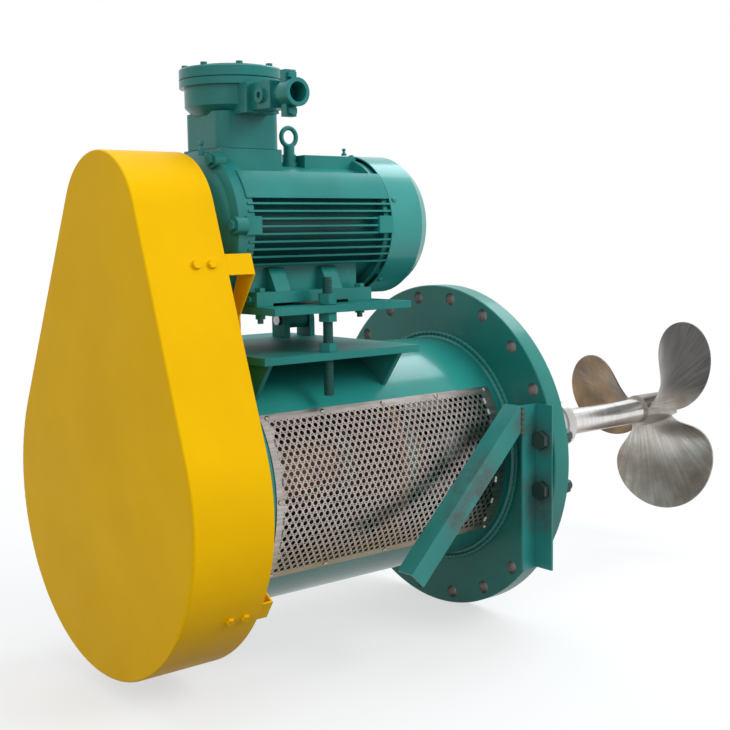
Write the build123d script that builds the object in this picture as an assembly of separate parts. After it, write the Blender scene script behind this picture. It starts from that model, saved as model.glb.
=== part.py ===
"""Side entry tank mixer: belt driven, bolted to a DN 600 nozzle low in a tank's wall.

Millimetres. The origin is the centre of the mounting flange's tank side face, on the mixer
shaft's axis. +X points along the shaft into the tank, +Z is up, and -Y is the side that
carries the belt tension stud.
"""
import os
from math import cos, degrees, hypot, pi, radians, sin, sqrt, tan

from build123d import *

os.makedirs("parts", exist_ok=True)

# ---------------------------------------------------------------- driving dimensions
fit_gap = 0.2            # radial gap between fixed pieces that sit in each other
run_gap = 0.05           # radial gap of a pin or shaft that turns in its hole
lay_gap = 0.3            # gap between curved sheets that lie on each other

# mounting flange, DN 600 PN 10 drilling
flange_od = 780
flange_edge_gap = 27.5   # flange's rim to the bolt circle
flange_hole_count = 20
flange_hole_d = 30
flange_t = 47
flange_bore_d = 190

# stool: tube, drive end plate and guard windows
tube_od = 530
tube_wall = 8
tube_length = 690
tube_weld_leg = 10
end_plate_t = 16
window_length = 602
window_flange_gap = 45
window_half_angle = 35
mesh_sheet_t = 2
mesh_lap = 15

# bearing housing and seal
housing_r = 95
housing_wall = 20
housing_length = 560
housing_front_r = 122
housing_front_length = 150
housing_flange_r = 140
housing_flange_t = 16
support_ring_t = 16
end_plate_hole_r = 26    # cleaning holes in the drive end plate
support_hole_r = 30
bearing_od = 140
bearing_width = 33
front_bearing_od = 160
front_bearing_width = 40
roller_count = 10
outer_ring_t = 9
front_outer_ring_t = 11
inner_ring_t = 8
cover_t = 14
cover_clearance = 2      # round the shaft
cover_lip_t = 10
cover_bolt_d = 12
cover_bolt_count = 6
seal_flange_r = 130
seal_flange_t = 18
seal_barrel_r = 80
seal_collar_r = 59
seal_collar_length = 26

# mixer shaft and propeller
shaft_d = 70
seal_seat_d = 78
bearing_seat_d = 80
front_seat_d = 90
shaft_mid_d = 104
pulley_seat_d = 75
thread_end_d = 60
hub_centre_x = 792
hub_length = 116
hub_r = 44
tail_d = 50
tail_nut_length = 34
tail_nut_flats = 62
collar_x1 = 408          # shut-off collar's propeller end
collar_length = 120
collar_d = 125
collar_step = 4
collar_rim = 30
blade_count = 3
blade_r = 290
blade_widest_r = 205
blade_half_width = 134
blade_neck_half_width = 25
blade_pitch = 540
blade_edge_t = 4
blade_root_t = 16
blade_turn = 38          # first blade, degrees from +Z towards -Y

# motor, 160 frame, foot mounted
motor_y = -41.5
shaft_height = 160
foot_pitch_x = 254
foot_pitch_y = 254
foot_hole_d = 15
foot_bolt_d = 12
foot_length = 292
foot_width = 52
foot_outer_gap = 17      # foot's outer edge to its holes
foot_h = 29
foot_t = 8               # walls of the feet
foot_relief = 6
foot_wall_inset = 28     # from the foot holes to the upright walls
foot_end_gap = 19        # foot's end to its hole
foot_setback = 2         # motor plate's end to the foot's end
motor_shaft_d = 42
motor_shaft_length = 110
frame_length = 371
frame_overhang = 25      # frame's drive end beyond the motor plate
shield_depth = 72
frame_r = 125
frame_bore_r = 118
rotor_r = 78
fin_tip_r = 153
fin_count = 12
fin_t = 4
fin_pitch = 15
lowest_fin = -77         # from the shaft's axis
ledge_top = 108
lug_size = 36            # cast lugs at the frame's corners
rib_width = 37
shield_nose_r = 70
shield_lug_r = 17
shield_lug_t = 26
shield_bolt_d = 12
ridge_length = 139
ridge_half_width = 34
ridge_rise = 148
box_seat_rise = 154
eye_setback = 216
eye_ring_r = 19
eye_wire_r = 5
fan_r = 118
fan_hub_r = 32
fan_vane_count = 8
cowl_r = 151
cowl_wall = 3
cowl_length = 118
cowl_back_r = 137
cowl_crease = 33
cowl_front_gap = 3       # cowl's edge to the frame's end
cowl_lug_r = 10

# terminal box and cable gland
box_setback = 74         # frame's drive end to the box's middle
box_side = 146
box_corner_r = 25
box_neck_h = 67
box_r = 95
box_wall = 12
box_round_h = 71
lid_r = 105
lid_t = 28
gland_drop = 42          # box's rim to the gland's axis
gland_block = 52
gland_block_length = 62
gland_mouth_r = 27
gland_bore_d = 38
gland_mouth_length = 40
clamp_t = 17
clamp_half_h = 44

# motor platform
base_plate_setback = 35  # from the drive end plate's back face
base_plate_length = 397
base_plate_far_y = 245
plate_t = 15
plate_near_y = -250
plate_gap = 80
motor_plate_setback = 27
motor_plate_length = 349
motor_plate_far_y = 150
gusset_t = 10
gusset_insets = (18, 46)  # from the plate's ends to each pair's faces
gusset_edge_gap = 12
hinge_y = 130
hinge_pin_d = 24
hinge_barrel_r = 20
hinge_barrel_length = 56
hinge_lug_t = 14
hinge_lug_r = 26
hinge_head_t = 6
hinge_inset = 32         # motor plate's ends to the barrels' middles
stud_setback = 171       # base plate's drive end to the stud
stud_y = -228
stud_d = 20
stud_below = 74          # below the base plate
stud_above = 56          # above the motor plate
stud_nut_flats = 34
stud_nut_h = 18
stud_hole_d = 28
washer_t = 4
nut_gap = 0.9            # play between the tension nuts and the tilting plate

# brace on the flange
post_leg = 50
post_t = 5
post_bolt_gap = 24       # bolt's axis to the angle's heel
post_top = 136
post_bottom = -236
strut_leg = 46
strut_t = 5
strut_reach = 329
strut_rise = 11          # strut's heel line over the post's top, at the post's edge
brace_bolt_d = 24

# belt drive and guard
driven_pcd = 600
motor_pcd = 150
belt_count = 4
belt_pitch = 19
belt_top = 16
belt_h = 13
groove_angle = 38
groove_extra = 3         # groove depth left under a belt
rim_edge = 12.5
rim_t = 14
pulley_setback = 86      # guard's back edge to the pulleys' middle
pulley_web_t = 18
pulley_web_holes = 6
pulley_web_hole_r = 50
bush_r = 66              # taper bush, outside
hub_wall = 26            # driven pulley's hub round its bush
guard_gap = 27           # guard's back edge to the drive end plate
guard_depth = 173
guard_sheet = 3
guard_edge_r = 4
guard_low_margin = 60    # beyond the pulley's pitch circle
guard_high_margin = 72
guard_back_inset = 6
bracket_sheet = 4
bracket_width = 42
guard_bolt_d = 10
guard_bolt_end = 10      # thread that stands out inside
bracket_inside = 85      # strip's length inside the guard's skirt
bracket_centre_z = 464   # middle of the upper strips
bracket_drop = 33        # lower strips, degrees below the shaft's axis
web_edge_inset = 80      # upper brackets' webs, in from the plates' edge
web_width = 48
end_plate_lap = 40       # lower brackets on the drive end plate

# ---------------------------------------------------------------- worked out sizes
flange_pcd = flange_od - 2 * flange_edge_gap
flange_half_step = 180 / flange_hole_count
post_heel_y = post_bolt_gap - flange_pcd / 2 * cos(radians(flange_half_step))
tube_r = tube_od / 2
tube_bore_r = tube_r - tube_wall
tube_x1 = -flange_t
tube_x0 = tube_x1 - tube_length
end_plate_x0 = tube_x0 - end_plate_t
base_plate_x0 = end_plate_x0 + base_plate_setback
base_plate_x1 = base_plate_x0 + base_plate_length
base_plate_z0 = tube_r + 1
base_plate_z1 = base_plate_z0 + plate_t
motor_plate_x0 = base_plate_x0 + motor_plate_setback
motor_plate_x1 = motor_plate_x0 + motor_plate_length
motor_plate_z0 = base_plate_z1 + plate_gap
motor_plate_z1 = motor_plate_z0 + plate_t
motor_z = motor_plate_z1 + shaft_height
gusset_x = (base_plate_x0 + gusset_insets[0], base_plate_x1 - gusset_insets[1])
hinge_x = (motor_plate_x0 + hinge_inset, motor_plate_x1 - hinge_inset)
hinge_z = (base_plate_z1 + motor_plate_z0) / 2
stud_x = base_plate_x0 + stud_setback
foot_x0 = motor_plate_x0 + foot_setback
foot_hole_x = foot_x0 + foot_end_gap
frame_x0 = motor_plate_x0 - frame_overhang
frame_x1 = frame_x0 + frame_length
shield_x0 = frame_x0 - shield_depth
motor_end_x = shield_x0 - 8 - motor_shaft_length
core_x0 = frame_x0 + 60
core_x1 = frame_x1 - 50
ridge_x0 = frame_x1 - ridge_length
eye_x = frame_x0 + eye_setback
box_x = frame_x0 + box_setback
box_bottom = motor_z + box_seat_rise
box_neck_top = box_bottom + box_neck_h
box_top = box_neck_top + box_round_h
gland_x = box_x - 3
gland_z = box_top - gland_drop
gland_pad_x = (gland_x - 38, gland_x + 38)
gland_pad_z = (gland_z - 30, gland_z + 28)
gland_y0 = motor_y - box_r - 10
gland_y1 = gland_y0 - 12
gland_y2 = gland_y1 - gland_block_length
gland_y3 = gland_y2 - 16
gland_y4 = gland_y3 - gland_mouth_length
guard_x1 = end_plate_x0 - guard_gap
guard_x0 = guard_x1 - guard_depth
guard_low_r = driven_pcd / 2 + guard_low_margin
guard_high_r = motor_pcd / 2 + guard_high_margin
pulley_centre_x = guard_x1 - pulley_setback


# ---------------------------------------------------------------- shared shapes
def save(node, *shapes):
    """Write a node's solids to its STEP file."""
    solids = [solid for shape in shapes for solid in shape.solids()]
    export_step(solids[0] if len(solids) == 1 else Compound(solids), f"parts/{node}.step")


def disc_x(radius, x0, x1, y=0, z=0):
    """A cylinder along X."""
    turned = Rot(0, 90, 0) * Cylinder(radius, x1 - x0, align=(Align.CENTER, Align.CENTER, Align.MIN))
    return Pos(x0, y, z) * turned


def ring_x(outer, inner, x0, x1, y=0, z=0):
    return disc_x(outer, x0, x1, y, z) - disc_x(inner, x0 - 1, x1 + 1, y, z)


def turned_x(profile, y=0, z=0):
    """A solid of revolution about a line along X; the profile is a list of (x, radius)."""
    face = make_face(Polyline(*[(x, radius) for x, radius in profile], close=True))
    return Pos(0, y, z) * revolve(face, Axis.X, 360)


def plate_x(sketch, x0, x1):
    """A plate square to X, from a sketch in (y, z)."""
    return extrude(Plane.YZ.offset(x0) * sketch, x1 - x0, dir=(1, 0, 0))


def plate_z(sketch, z0, z1):
    return extrude(Plane.XY.offset(z0) * sketch, z1 - z0, dir=(0, 0, 1))


def block(x0, x1, y0, y1, z0, z1):
    return Pos((x0 + x1) / 2, (y0 + y1) / 2, (z0 + z1) / 2) * Box(x1 - x0, y1 - y0, z1 - z0)


def upright(radius, z0, z1, x, y):
    return Pos(x, y, z0) * Cylinder(radius, z1 - z0, align=(Align.CENTER, Align.CENTER, Align.MIN))


def hexagon(flats, height):
    """A hexagonal prism that stands on z = 0."""
    return extrude(RegularPolygon(flats / 2, 6, major_radius=False), height)


def hex_flats(d):
    return 1.5 * d + 1


def hex_head(d):
    return hexagon(hex_flats(d), 0.65 * d)


def hex_bolt(d, length):
    """Head above z = 0, shank below it."""
    shank = Cylinder(d / 2, length + 1, align=(Align.CENTER, Align.CENTER, Align.MIN))
    return hex_head(d) + Pos(0, 0, -length) * shank


def hex_nut(d, flats=None, height=None):
    """A nut that stands on z = 0."""
    height = height or 0.85 * d
    bore = Cylinder(d / 2 + run_gap, 3 * height)
    return hexagon(flats or hex_flats(d), height) - bore


def facing(x, y, z, direction):
    """Places a piece with its own +Z along the given direction."""
    return Plane(origin=(x, y, z), z_dir=direction).location


def around(count, radius, start=0, y=0, z=0):
    """(y, z) places round an axis along X, counted from the near side (-Y) upwards."""
    for i in range(count):
        angle = radians(start + 360 * i / count)
        yield y - radius * cos(angle), z + radius * sin(angle)


# ---------------------------------------------------------------- stool
def mounting_flange():
    body = disc_x(flange_od / 2, -flange_t, 0) - disc_x(flange_bore_d / 2, -flange_t - 1, 1)
    body = chamfer(body.edges().filter_by(GeomType.CIRCLE).group_by(SortBy.LENGTH)[-1], 2)
    for y, z in around(flange_hole_count, flange_pcd / 2, flange_half_step):
        body -= disc_x(flange_hole_d / 2, -flange_t - 1, 1, y, z)
    return body


def sector_prism(x0, x1, half_angle, reach, side):
    """A wedge about the shaft's axis, open towards the near side (-1) or the far side (+1)."""
    rise = reach * tan(radians(half_angle))
    return plate_x(Polygon((0, 0), (side * reach, rise), (side * reach, -rise), align=None), x0, x1)


def stool_tube():
    body = ring_x(tube_r, tube_bore_r, tube_x0, tube_x1)
    weld = turned_x([(tube_x1, tube_r - 1), (tube_x1, tube_r + tube_weld_leg),
                     (tube_x1 - tube_weld_leg, tube_r - 1)])
    body += weld
    x1 = tube_x1 - window_flange_gap
    for side in (-1, 1):
        body -= sector_prism(x1 - window_length, x1, window_half_angle, 2 * tube_r, side)
    return body


def mesh_guard(side):
    """The rolled sheet that closes a window. Its fine punched holes aren't cut here."""
    x1 = tube_x1 - window_flange_gap + mesh_lap
    x0 = x1 - window_length - 2 * mesh_lap
    inner = tube_r + lay_gap
    half_angle = window_half_angle + degrees(mesh_lap / tube_r)
    sheet = ring_x(inner + mesh_sheet_t, inner, x0, x1)
    return sheet & sector_prism(x0, x1, half_angle, 2 * tube_r, side)


def drive_end_plate():
    body = ring_x(tube_r, housing_r + fit_gap, end_plate_x0, tube_x0)
    for y, z in around(4, (tube_r + housing_flange_r) / 2, 45):
        body -= disc_x(end_plate_hole_r, end_plate_x0 - 1, tube_x0 + 1, y, z)
    return body


housing_x0 = end_plate_x0 - housing_flange_t
housing_x1 = housing_x0 + housing_length
rear_bearing_x = housing_x0 + 30
front_bearing_x = housing_x1 - 30 - front_bearing_width
housing_front_x0 = housing_x1 - housing_front_length
support_x0 = housing_front_x0 - support_ring_t


def bearing_housing():
    """Cast cartridge: flange at the drive end, bigger barrel round the front bearing."""
    body = turned_x([
        (housing_x0, 0), (housing_x0, housing_flange_r), (end_plate_x0, housing_flange_r),
        (end_plate_x0, housing_r), (housing_front_x0, housing_r), (housing_front_x0, housing_front_r),
        (housing_x1, housing_front_r), (housing_x1, 0)])
    body -= disc_x(housing_r - housing_wall, housing_x0 - 1, housing_x1 + 1)
    body -= disc_x(front_bearing_od / 2 + fit_gap, front_bearing_x, housing_x1 + 1)
    return body


def support_ring():
    body = ring_x(tube_bore_r - lay_gap, housing_r + fit_gap, support_x0, housing_front_x0)
    for y, z in around(4, (tube_bore_r + housing_front_r) / 2, 45):
        body -= disc_x(support_hole_r, support_x0 - 1, housing_front_x0 + 1, y, z)
    return body


def bearing_outer_rings():
    seat = housing_r - housing_wall - fit_gap
    rear = ring_x(seat, bearing_od / 2 - outer_ring_t, rear_bearing_x, rear_bearing_x + bearing_width)
    front = ring_x(front_bearing_od / 2, front_bearing_od / 2 - front_outer_ring_t,
                   front_bearing_x + fit_gap, front_bearing_x + front_bearing_width)
    return rear, front


def bearing_inner_rings():
    """The inner rings and the rollers that run between them and the outer rings."""
    pieces = []
    for x0, width, bore, outer_race in (
            (rear_bearing_x, bearing_width, bearing_seat_d, bearing_od / 2 - outer_ring_t),
            (front_bearing_x, front_bearing_width, front_seat_d, front_bearing_od / 2 - front_outer_ring_t)):
        inner_race = bore / 2 + inner_ring_t
        roller_r = (outer_race - inner_race) / 2 - run_gap
        pieces.append(ring_x(inner_race, bore / 2 + run_gap, x0 + fit_gap, x0 + width))
        for y, z in around(roller_count, (outer_race + inner_race) / 2):
            pieces.append(disc_x(roller_r, x0 + 5, x0 + width - 5, y, z))
    return pieces


def bearing_covers():
    """The flat cover at the drive end and the one at the front, each with a shaft hole."""
    bore = pulley_seat_d / 2 + cover_clearance
    lip = bearing_od / 2 - cover_clearance
    rear = turned_x([
        (housing_x0 - cover_t, bore), (housing_x0 - cover_t, housing_front_r),
        (housing_x0, housing_front_r), (housing_x0, lip), (rear_bearing_x - 1, lip),
        (rear_bearing_x - 1, lip - cover_lip_t), (housing_x0, lip - cover_lip_t), (housing_x0, bore)])
    front = ring_x(housing_front_r, seal_seat_d / 2 + cover_clearance, housing_x1, housing_x1 + cover_t)
    return rear, front


def cover_bolts():
    pieces = []
    for y, z in around(cover_bolt_count, housing_front_r - 1.2 * cover_bolt_d):
        pieces.append(facing(housing_x0 - cover_t, y, z, (-1, 0, 0)) * hex_head(cover_bolt_d))
        pieces.append(facing(housing_x1 + cover_t, y, z, (1, 0, 0)) * hex_head(cover_bolt_d))
    return pieces


seal_x0 = -flange_t - seal_flange_t - 48


def seal_housing():
    """Flanged stuffing barrel in the flange's bore, with the stepped collar at the tank side."""
    bore = seal_seat_d / 2 + 12
    return turned_x([
        (seal_x0, bore), (seal_x0, seal_barrel_r + 14), (seal_x0 + 14, seal_barrel_r + 14),
        (seal_x0 + 14, seal_barrel_r), (-flange_t - seal_flange_t, seal_barrel_r),
        (-flange_t - seal_flange_t, seal_flange_r), (-flange_t, seal_flange_r),
        (-flange_t, flange_bore_d / 2 - fit_gap), (0, flange_bore_d / 2 - fit_gap),
        (0, seal_collar_r), (seal_collar_length - 8, seal_collar_r),
        (seal_collar_length - 8, seal_collar_r - 4), (seal_collar_length, seal_collar_r - 4),
        (seal_collar_length, shaft_d / 2 + 4), (-30, shaft_d / 2 + 4), (-30, bore)])


def seal_gland():
    """The plate that holds the mechanical seal's fixed ring, with its four studs' nuts."""
    pieces = [ring_x(seal_barrel_r + 14, seal_seat_d / 2 + 3, seal_x0 - 12, seal_x0)]
    for y, z in around(4, seal_barrel_r + 1, 45):
        pieces.append(facing(seal_x0 - 12, y, z, (-1, 0, 0)) * hexagon(18, 10))
    return pieces


# ---------------------------------------------------------------- platform on the stool
def base_plate():
    body = block(base_plate_x0, base_plate_x1, plate_near_y, base_plate_far_y, base_plate_z0, base_plate_z1)
    return body - upright(stud_d / 2 + fit_gap, base_plate_z0 - 1, base_plate_z1 + 1, stud_x, stud_y)


def base_gussets():
    """Webs that carry the flat plate on the round tube, a pair at each end."""
    pieces = []
    foot_y = 0.687 * tube_r
    edge_y = abs(plate_near_y) - gusset_edge_gap
    foot_z = sqrt(tube_r ** 2 - foot_y ** 2)
    seat_r = tube_r + lay_gap
    for x0 in gusset_x:
        for side in (-1, 1):
            outline = Polygon((side * 4, base_plate_z0), (side * edge_y, base_plate_z0),
                              (side * foot_y, foot_z), (side * 4, foot_z), align=None)
            web = plate_x(outline, x0, x0 + gusset_t)
            pieces.append(web - disc_x(seat_r, x0 - 1, x0 + gusset_t + 1))
    return pieces


def hinge_lugs():
    """Two pairs of ears that stand on the base plate and hold the hinge pin."""
    pieces = []
    half = hinge_barrel_length / 2 + lay_gap
    for middle in hinge_x:
        for x0 in (middle - half - hinge_lug_t, middle + half):
            x1 = x0 + hinge_lug_t
            ear = block(x0, x1, hinge_y - hinge_lug_r, hinge_y + hinge_lug_r, base_plate_z1, hinge_z)
            ear += disc_x(hinge_lug_r, x0, x1, hinge_y, hinge_z)
            pieces.append(ear - disc_x(hinge_pin_d / 2 + fit_gap, x0 - 1, x1 + 1, hinge_y, hinge_z))
    return pieces


def hinge_pins():
    pieces = []
    half = hinge_barrel_length / 2 + lay_gap + hinge_lug_t + hinge_head_t
    for middle in hinge_x:
        pin = disc_x(hinge_pin_d / 2, middle - half, middle + half, hinge_y, hinge_z)
        head = disc_x(hinge_pin_d / 2 + hinge_head_t, middle + half - hinge_head_t + lay_gap, middle + half,
                      hinge_y, hinge_z)
        pieces.append(pin + head)
    return pieces


def hinge_barrels():
    """Bearing tubes that hang from the motor plate on short webs and turn on the pins."""
    pieces = []
    half = hinge_barrel_length / 2
    for middle in hinge_x:
        x0, x1 = middle - half, middle + half
        body = disc_x(hinge_barrel_r, x0, x1, hinge_y, hinge_z)
        body += block(x0, x1, hinge_y - hinge_barrel_r, hinge_y + hinge_barrel_r, hinge_z, motor_plate_z0)
        pieces.append(body - disc_x(hinge_pin_d / 2 + run_gap, x0 - 1, x1 + 1, hinge_y, hinge_z))
    return pieces


def motor_plate():
    body = block(motor_plate_x0, motor_plate_x1, plate_near_y, motor_plate_far_y,
                 motor_plate_z0, motor_plate_z1)
    body -= upright(stud_hole_d / 2, motor_plate_z0 - 1, motor_plate_z1 + 1, stud_x, stud_y)
    for x, y in foot_holes():
        body -= upright(foot_hole_d / 2, motor_plate_z0 - 1, motor_plate_z1 + 1, x, y)
    return body


def tension_stud():
    body = upright(stud_d / 2, base_plate_z0 - stud_below, motor_plate_z1 + stud_above, stud_x, stud_y)
    return chamfer(body.edges().filter_by(GeomType.CIRCLE), 1.5)


def stud_nut(z0):
    return Pos(stud_x, stud_y, z0) * hex_nut(stud_d, stud_nut_flats, stud_nut_h)


def stud_washer(z0):
    washer = Cylinder(0.9 * stud_d, washer_t, align=(Align.CENTER, Align.CENTER, Align.MIN))
    return Pos(stud_x, stud_y, z0) * (washer - Cylinder(stud_d / 2 + run_gap, 3 * washer_t))


# ---------------------------------------------------------------- brace on the flange
def angle_bar(leg, thickness, length):
    """Equal angle along +Z with its heel on the Z axis and its legs along +X and +Y."""
    outline = Polygon((0, 0), (leg, 0), (leg, thickness), (thickness, thickness),
                      (thickness, leg), (0, leg), align=None)
    return extrude(outline, length)


brace_bolt_places = [place for place in around(flange_hole_count, flange_pcd / 2, flange_half_step)
                     if place[0] < -0.95 * flange_pcd / 2]


def brace_post():
    """Angle iron on the flange's back face: one leg bolted, the other standing off."""
    bar = angle_bar(post_leg, post_t, post_top - post_bottom)
    seat = Plane(origin=(-flange_t, post_heel_y, post_bottom), x_dir=(-1, 0, 0), z_dir=(0, 0, 1))
    body = seat.location * bar
    for y, z in brace_bolt_places:
        body -= disc_x(brace_bolt_d / 2 + 1.5, -flange_t - post_t - 1, -flange_t + 1, y, z)
    return body


def brace_strut():
    """Angle iron welded to the post's free edge, running down and back at 45 degrees."""
    top_x = -flange_t - post_leg
    heel_y = post_heel_y - post_t
    long = strut_reach * sqrt(2)
    start = Plane(origin=(top_x - strut_reach, heel_y, post_top + strut_rise - strut_reach),
                  x_dir=(1, 0, -1), z_dir=(1, 0, 1))
    bar = start.location * angle_bar(strut_leg, strut_t, long + strut_leg)
    return bar & block(top_x - strut_reach - strut_leg, top_x, heel_y - 1, heel_y + strut_leg + 1,
                       post_bottom, post_top)


def brace_bolts():
    pieces = []
    grip = flange_t + post_t
    for y, z in brace_bolt_places:
        bolt = hex_bolt(brace_bolt_d, grip + 1.4 * brace_bolt_d)
        pieces.append(facing(-flange_t - post_t, y, z, (-1, 0, 0)) * bolt)
        pieces.append(facing(0, y, z, (1, 0, 0)) * hex_nut(brace_bolt_d))
    return pieces


# ---------------------------------------------------------------- belt drive
def tangent_points(r_low, r_high):
    """Where the straight sides meet two circles, on the near side and on the far side."""
    reach = hypot(motor_y, motor_z)
    along = (motor_y / reach, motor_z / reach)
    lean = (r_low - r_high) / reach
    spread = sqrt(1 - lean ** 2)
    sides = []
    for side in (1, -1):
        normal = (along[0] * lean - side * along[1] * spread,
                  along[1] * lean + side * along[0] * spread)
        sides.append((normal, (r_low * normal[0], r_low * normal[1]),
                      (motor_y + r_high * normal[0], motor_z + r_high * normal[1])))
    return sides


def drop_outline(r_low, r_high):
    """An arc round the mixer shaft, an arc round the motor shaft, and their tangents."""
    near, far = tangent_points(r_low, r_high)
    reach = hypot(motor_y, motor_z)
    top = (motor_y + r_high * motor_y / reach, motor_z + r_high * motor_z / reach)
    bottom = (-r_low * motor_y / reach, -r_low * motor_z / reach)
    edges = [ThreePointArc(near[1], bottom, far[1]), Line(far[1], far[2]),
             ThreePointArc(far[2], top, near[2]), Line(near[2], near[1])]
    return make_face(Curve() + edges)


def belt_guard():
    outer = plate_x(drop_outline(guard_low_r, guard_high_r), guard_x0, guard_x1)
    outer = fillet(outer.faces().sort_by(Axis.X)[0].edges(), guard_edge_r)
    inner = plate_x(drop_outline(guard_low_r - guard_sheet, guard_high_r - guard_sheet),
                    guard_x0 + guard_sheet, guard_x1 + 1)
    body = outer - inner
    for seat, _ in (*upper_seats(), *lower_seats()):
        body -= bolt_holes(seat)
    return body


back_plate_x1 = guard_x1 - guard_back_inset


def guard_back_plate():
    """Closes the guard's back, with a hole round the bearing cover and one round the motor shaft."""
    margin = guard_sheet + lay_gap
    outline = drop_outline(guard_low_r - margin, guard_high_r - margin)
    body = plate_x(outline, back_plate_x1 - guard_sheet, back_plate_x1)
    body -= disc_x(housing_flange_r + 6, back_plate_x1 - guard_sheet - 1, back_plate_x1 + 1)
    body -= disc_x(shield_nose_r + 16, back_plate_x1 - guard_sheet - 1, back_plate_x1 + 1, motor_y, motor_z)
    for seat, depth in (*upper_seats(), *lower_seats()):
        reach = bracket_width / 2 + 1
        body -= seat.location * block(bracket_x0, guard_x1, -reach, reach, -depth - bracket_sheet - 1, 0)
    return body


def grooved_rim(pcd, inner_r):
    """Profile of a V belt rim: list of (x, radius), from its back edge to its front edge."""
    outer = pcd / 2 + belt_rise
    depth = belt_h + groove_extra
    half_top = belt_top / 2 + lay_gap
    half_bottom = half_top - depth * tan(radians(groove_angle / 2))
    half = (belt_count - 1) * belt_pitch / 2
    points = [(pulley_centre_x - half - rim_edge, outer)]
    for i in range(belt_count):
        x = pulley_centre_x - half + i * belt_pitch
        points += [(x - half_top, outer), (x - half_bottom, outer - depth),
                   (x + half_bottom, outer - depth), (x + half_top, outer)]
    points.append((pulley_centre_x + half + rim_edge, outer))
    return [(points[0][0], inner_r)] + points + [(points[-1][0], inner_r)]


rim_half_width = (belt_count - 1) * belt_pitch / 2 + rim_edge


def driven_pulley():
    rim_inner = driven_pcd / 2 - belt_h - groove_extra - rim_t
    body = turned_x(grooved_rim(driven_pcd, rim_inner))
    web_x0 = pulley_centre_x - pulley_web_t / 2
    body += disc_x(rim_inner + 2, web_x0, web_x0 + pulley_web_t)
    rear, front = pulley_centre_x - rim_half_width, pulley_centre_x + rim_half_width
    body += disc_x(bush_r + hub_wall, rear, front)
    for y, z in around(pulley_web_holes, (rim_inner + bush_r + hub_wall) / 2, 15):
        body -= disc_x(pulley_web_hole_r, web_x0 - 1, web_x0 + pulley_web_t + 1, y, z)
    return body - disc_x(bush_r + fit_gap, rear - 1, front + 1)


def taper_bush():
    return ring_x(bush_r, pulley_seat_d / 2 + run_gap, pulley_centre_x - rim_half_width,
                  pulley_centre_x + rim_half_width)


def motor_pulley():
    body = turned_x(grooved_rim(motor_pcd, motor_shaft_d / 2 + run_gap))
    return Pos(0, motor_y, motor_z) * body


belt_rise = belt_h * 0.27   # how far a belt stands above the pitch line


def v_belts():
    """Endless belts: two arcs and two straight runs of one trapezoid section."""
    narrow = belt_top / 2 - belt_h * tan(radians(groove_angle / 2))
    section = [(-belt_top / 2, 0), (belt_top / 2, 0), (narrow, -belt_h), (-narrow, -belt_h)]
    low_r, high_r = driven_pcd / 2 + belt_rise, motor_pcd / 2 + belt_rise
    sides = tangent_points(low_r, high_r)
    far = 3 * low_r
    fan = [(far * normal[0], far * normal[1]) for normal, low, high in sides]
    fan.insert(1, (far * motor_y / motor_z, 2 * far))
    wedge = plate_x(Polygon((0, 0), *fan, align=None), -belt_top, belt_top)
    belt = turned_x([(x, low_r + y) for x, y in section]) - wedge
    small_arc = turned_x([(x, high_r + y) for x, y in section], motor_y, motor_z)
    belt += small_arc & Pos(0, motor_y, motor_z) * wedge
    for normal, low, high in sides:
        run = Plane(origin=(0, *low), x_dir=(1, 0, 0), z_dir=(0, high[0] - low[0], high[1] - low[1]))
        flip = 1 if run.y_dir.Y * normal[0] + run.y_dir.Z * normal[1] > 0 else -1
        outline = Polygon(*[(x, flip * y) for x, y in section], align=None)
        belt += extrude(run * outline, hypot(high[0] - low[0], high[1] - low[1]), dir=run.z_dir)
    half = (belt_count - 1) * belt_pitch / 2
    return [Pos(pulley_centre_x - half + i * belt_pitch, 0, 0) * belt for i in range(belt_count)]


bracket_bolt_x = (guard_x1 - 67, guard_x1 - 33)
bracket_x0 = guard_x1 - bracket_inside


def side_seat(y, z, normal):
    """A plane on the guard's side: its own X is the mixer's X, its own Z points outwards."""
    return Plane(origin=(0, y, z), x_dir=(1, 0, 0), z_dir=(0, normal[0], normal[1]))


def upper_seats():
    """Planes on the guard's straight sides at the upper brackets, and how deep the strips lie."""
    for normal, low, high in tangent_points(guard_low_r, guard_high_r):
        share = (bracket_centre_z - low[1]) / (high[1] - low[1])
        yield side_seat(low[0] + share * (high[0] - low[0]), bracket_centre_z, normal), guard_sheet + lay_gap


def lower_seats():
    """The same on the round lower sides, where a flat strip has to lie a little deeper."""
    depth = guard_low_r - sqrt((guard_low_r - guard_sheet - lay_gap) ** 2 - (bracket_width / 2) ** 2)
    for angle in (180 + bracket_drop, -bracket_drop):
        normal = (cos(radians(angle)), sin(radians(angle)))
        yield side_seat(guard_low_r * normal[0], guard_low_r * normal[1], normal), depth


def bolt_holes(seat):
    drill = Cylinder(guard_bolt_d / 2 + fit_gap, 60)
    return [seat.location * Pos(x, 0, 0) * drill for x in bracket_bolt_x]


def bracket_strip(seat, depth, x_turn):
    """The part of a bracket that lies inside the guard's skirt."""
    strip = seat.location * block(bracket_x0, x_turn + bracket_sheet, -bracket_width / 2,
                                  bracket_width / 2, -depth - bracket_sheet, -depth)
    return strip - bolt_holes(seat)


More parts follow.
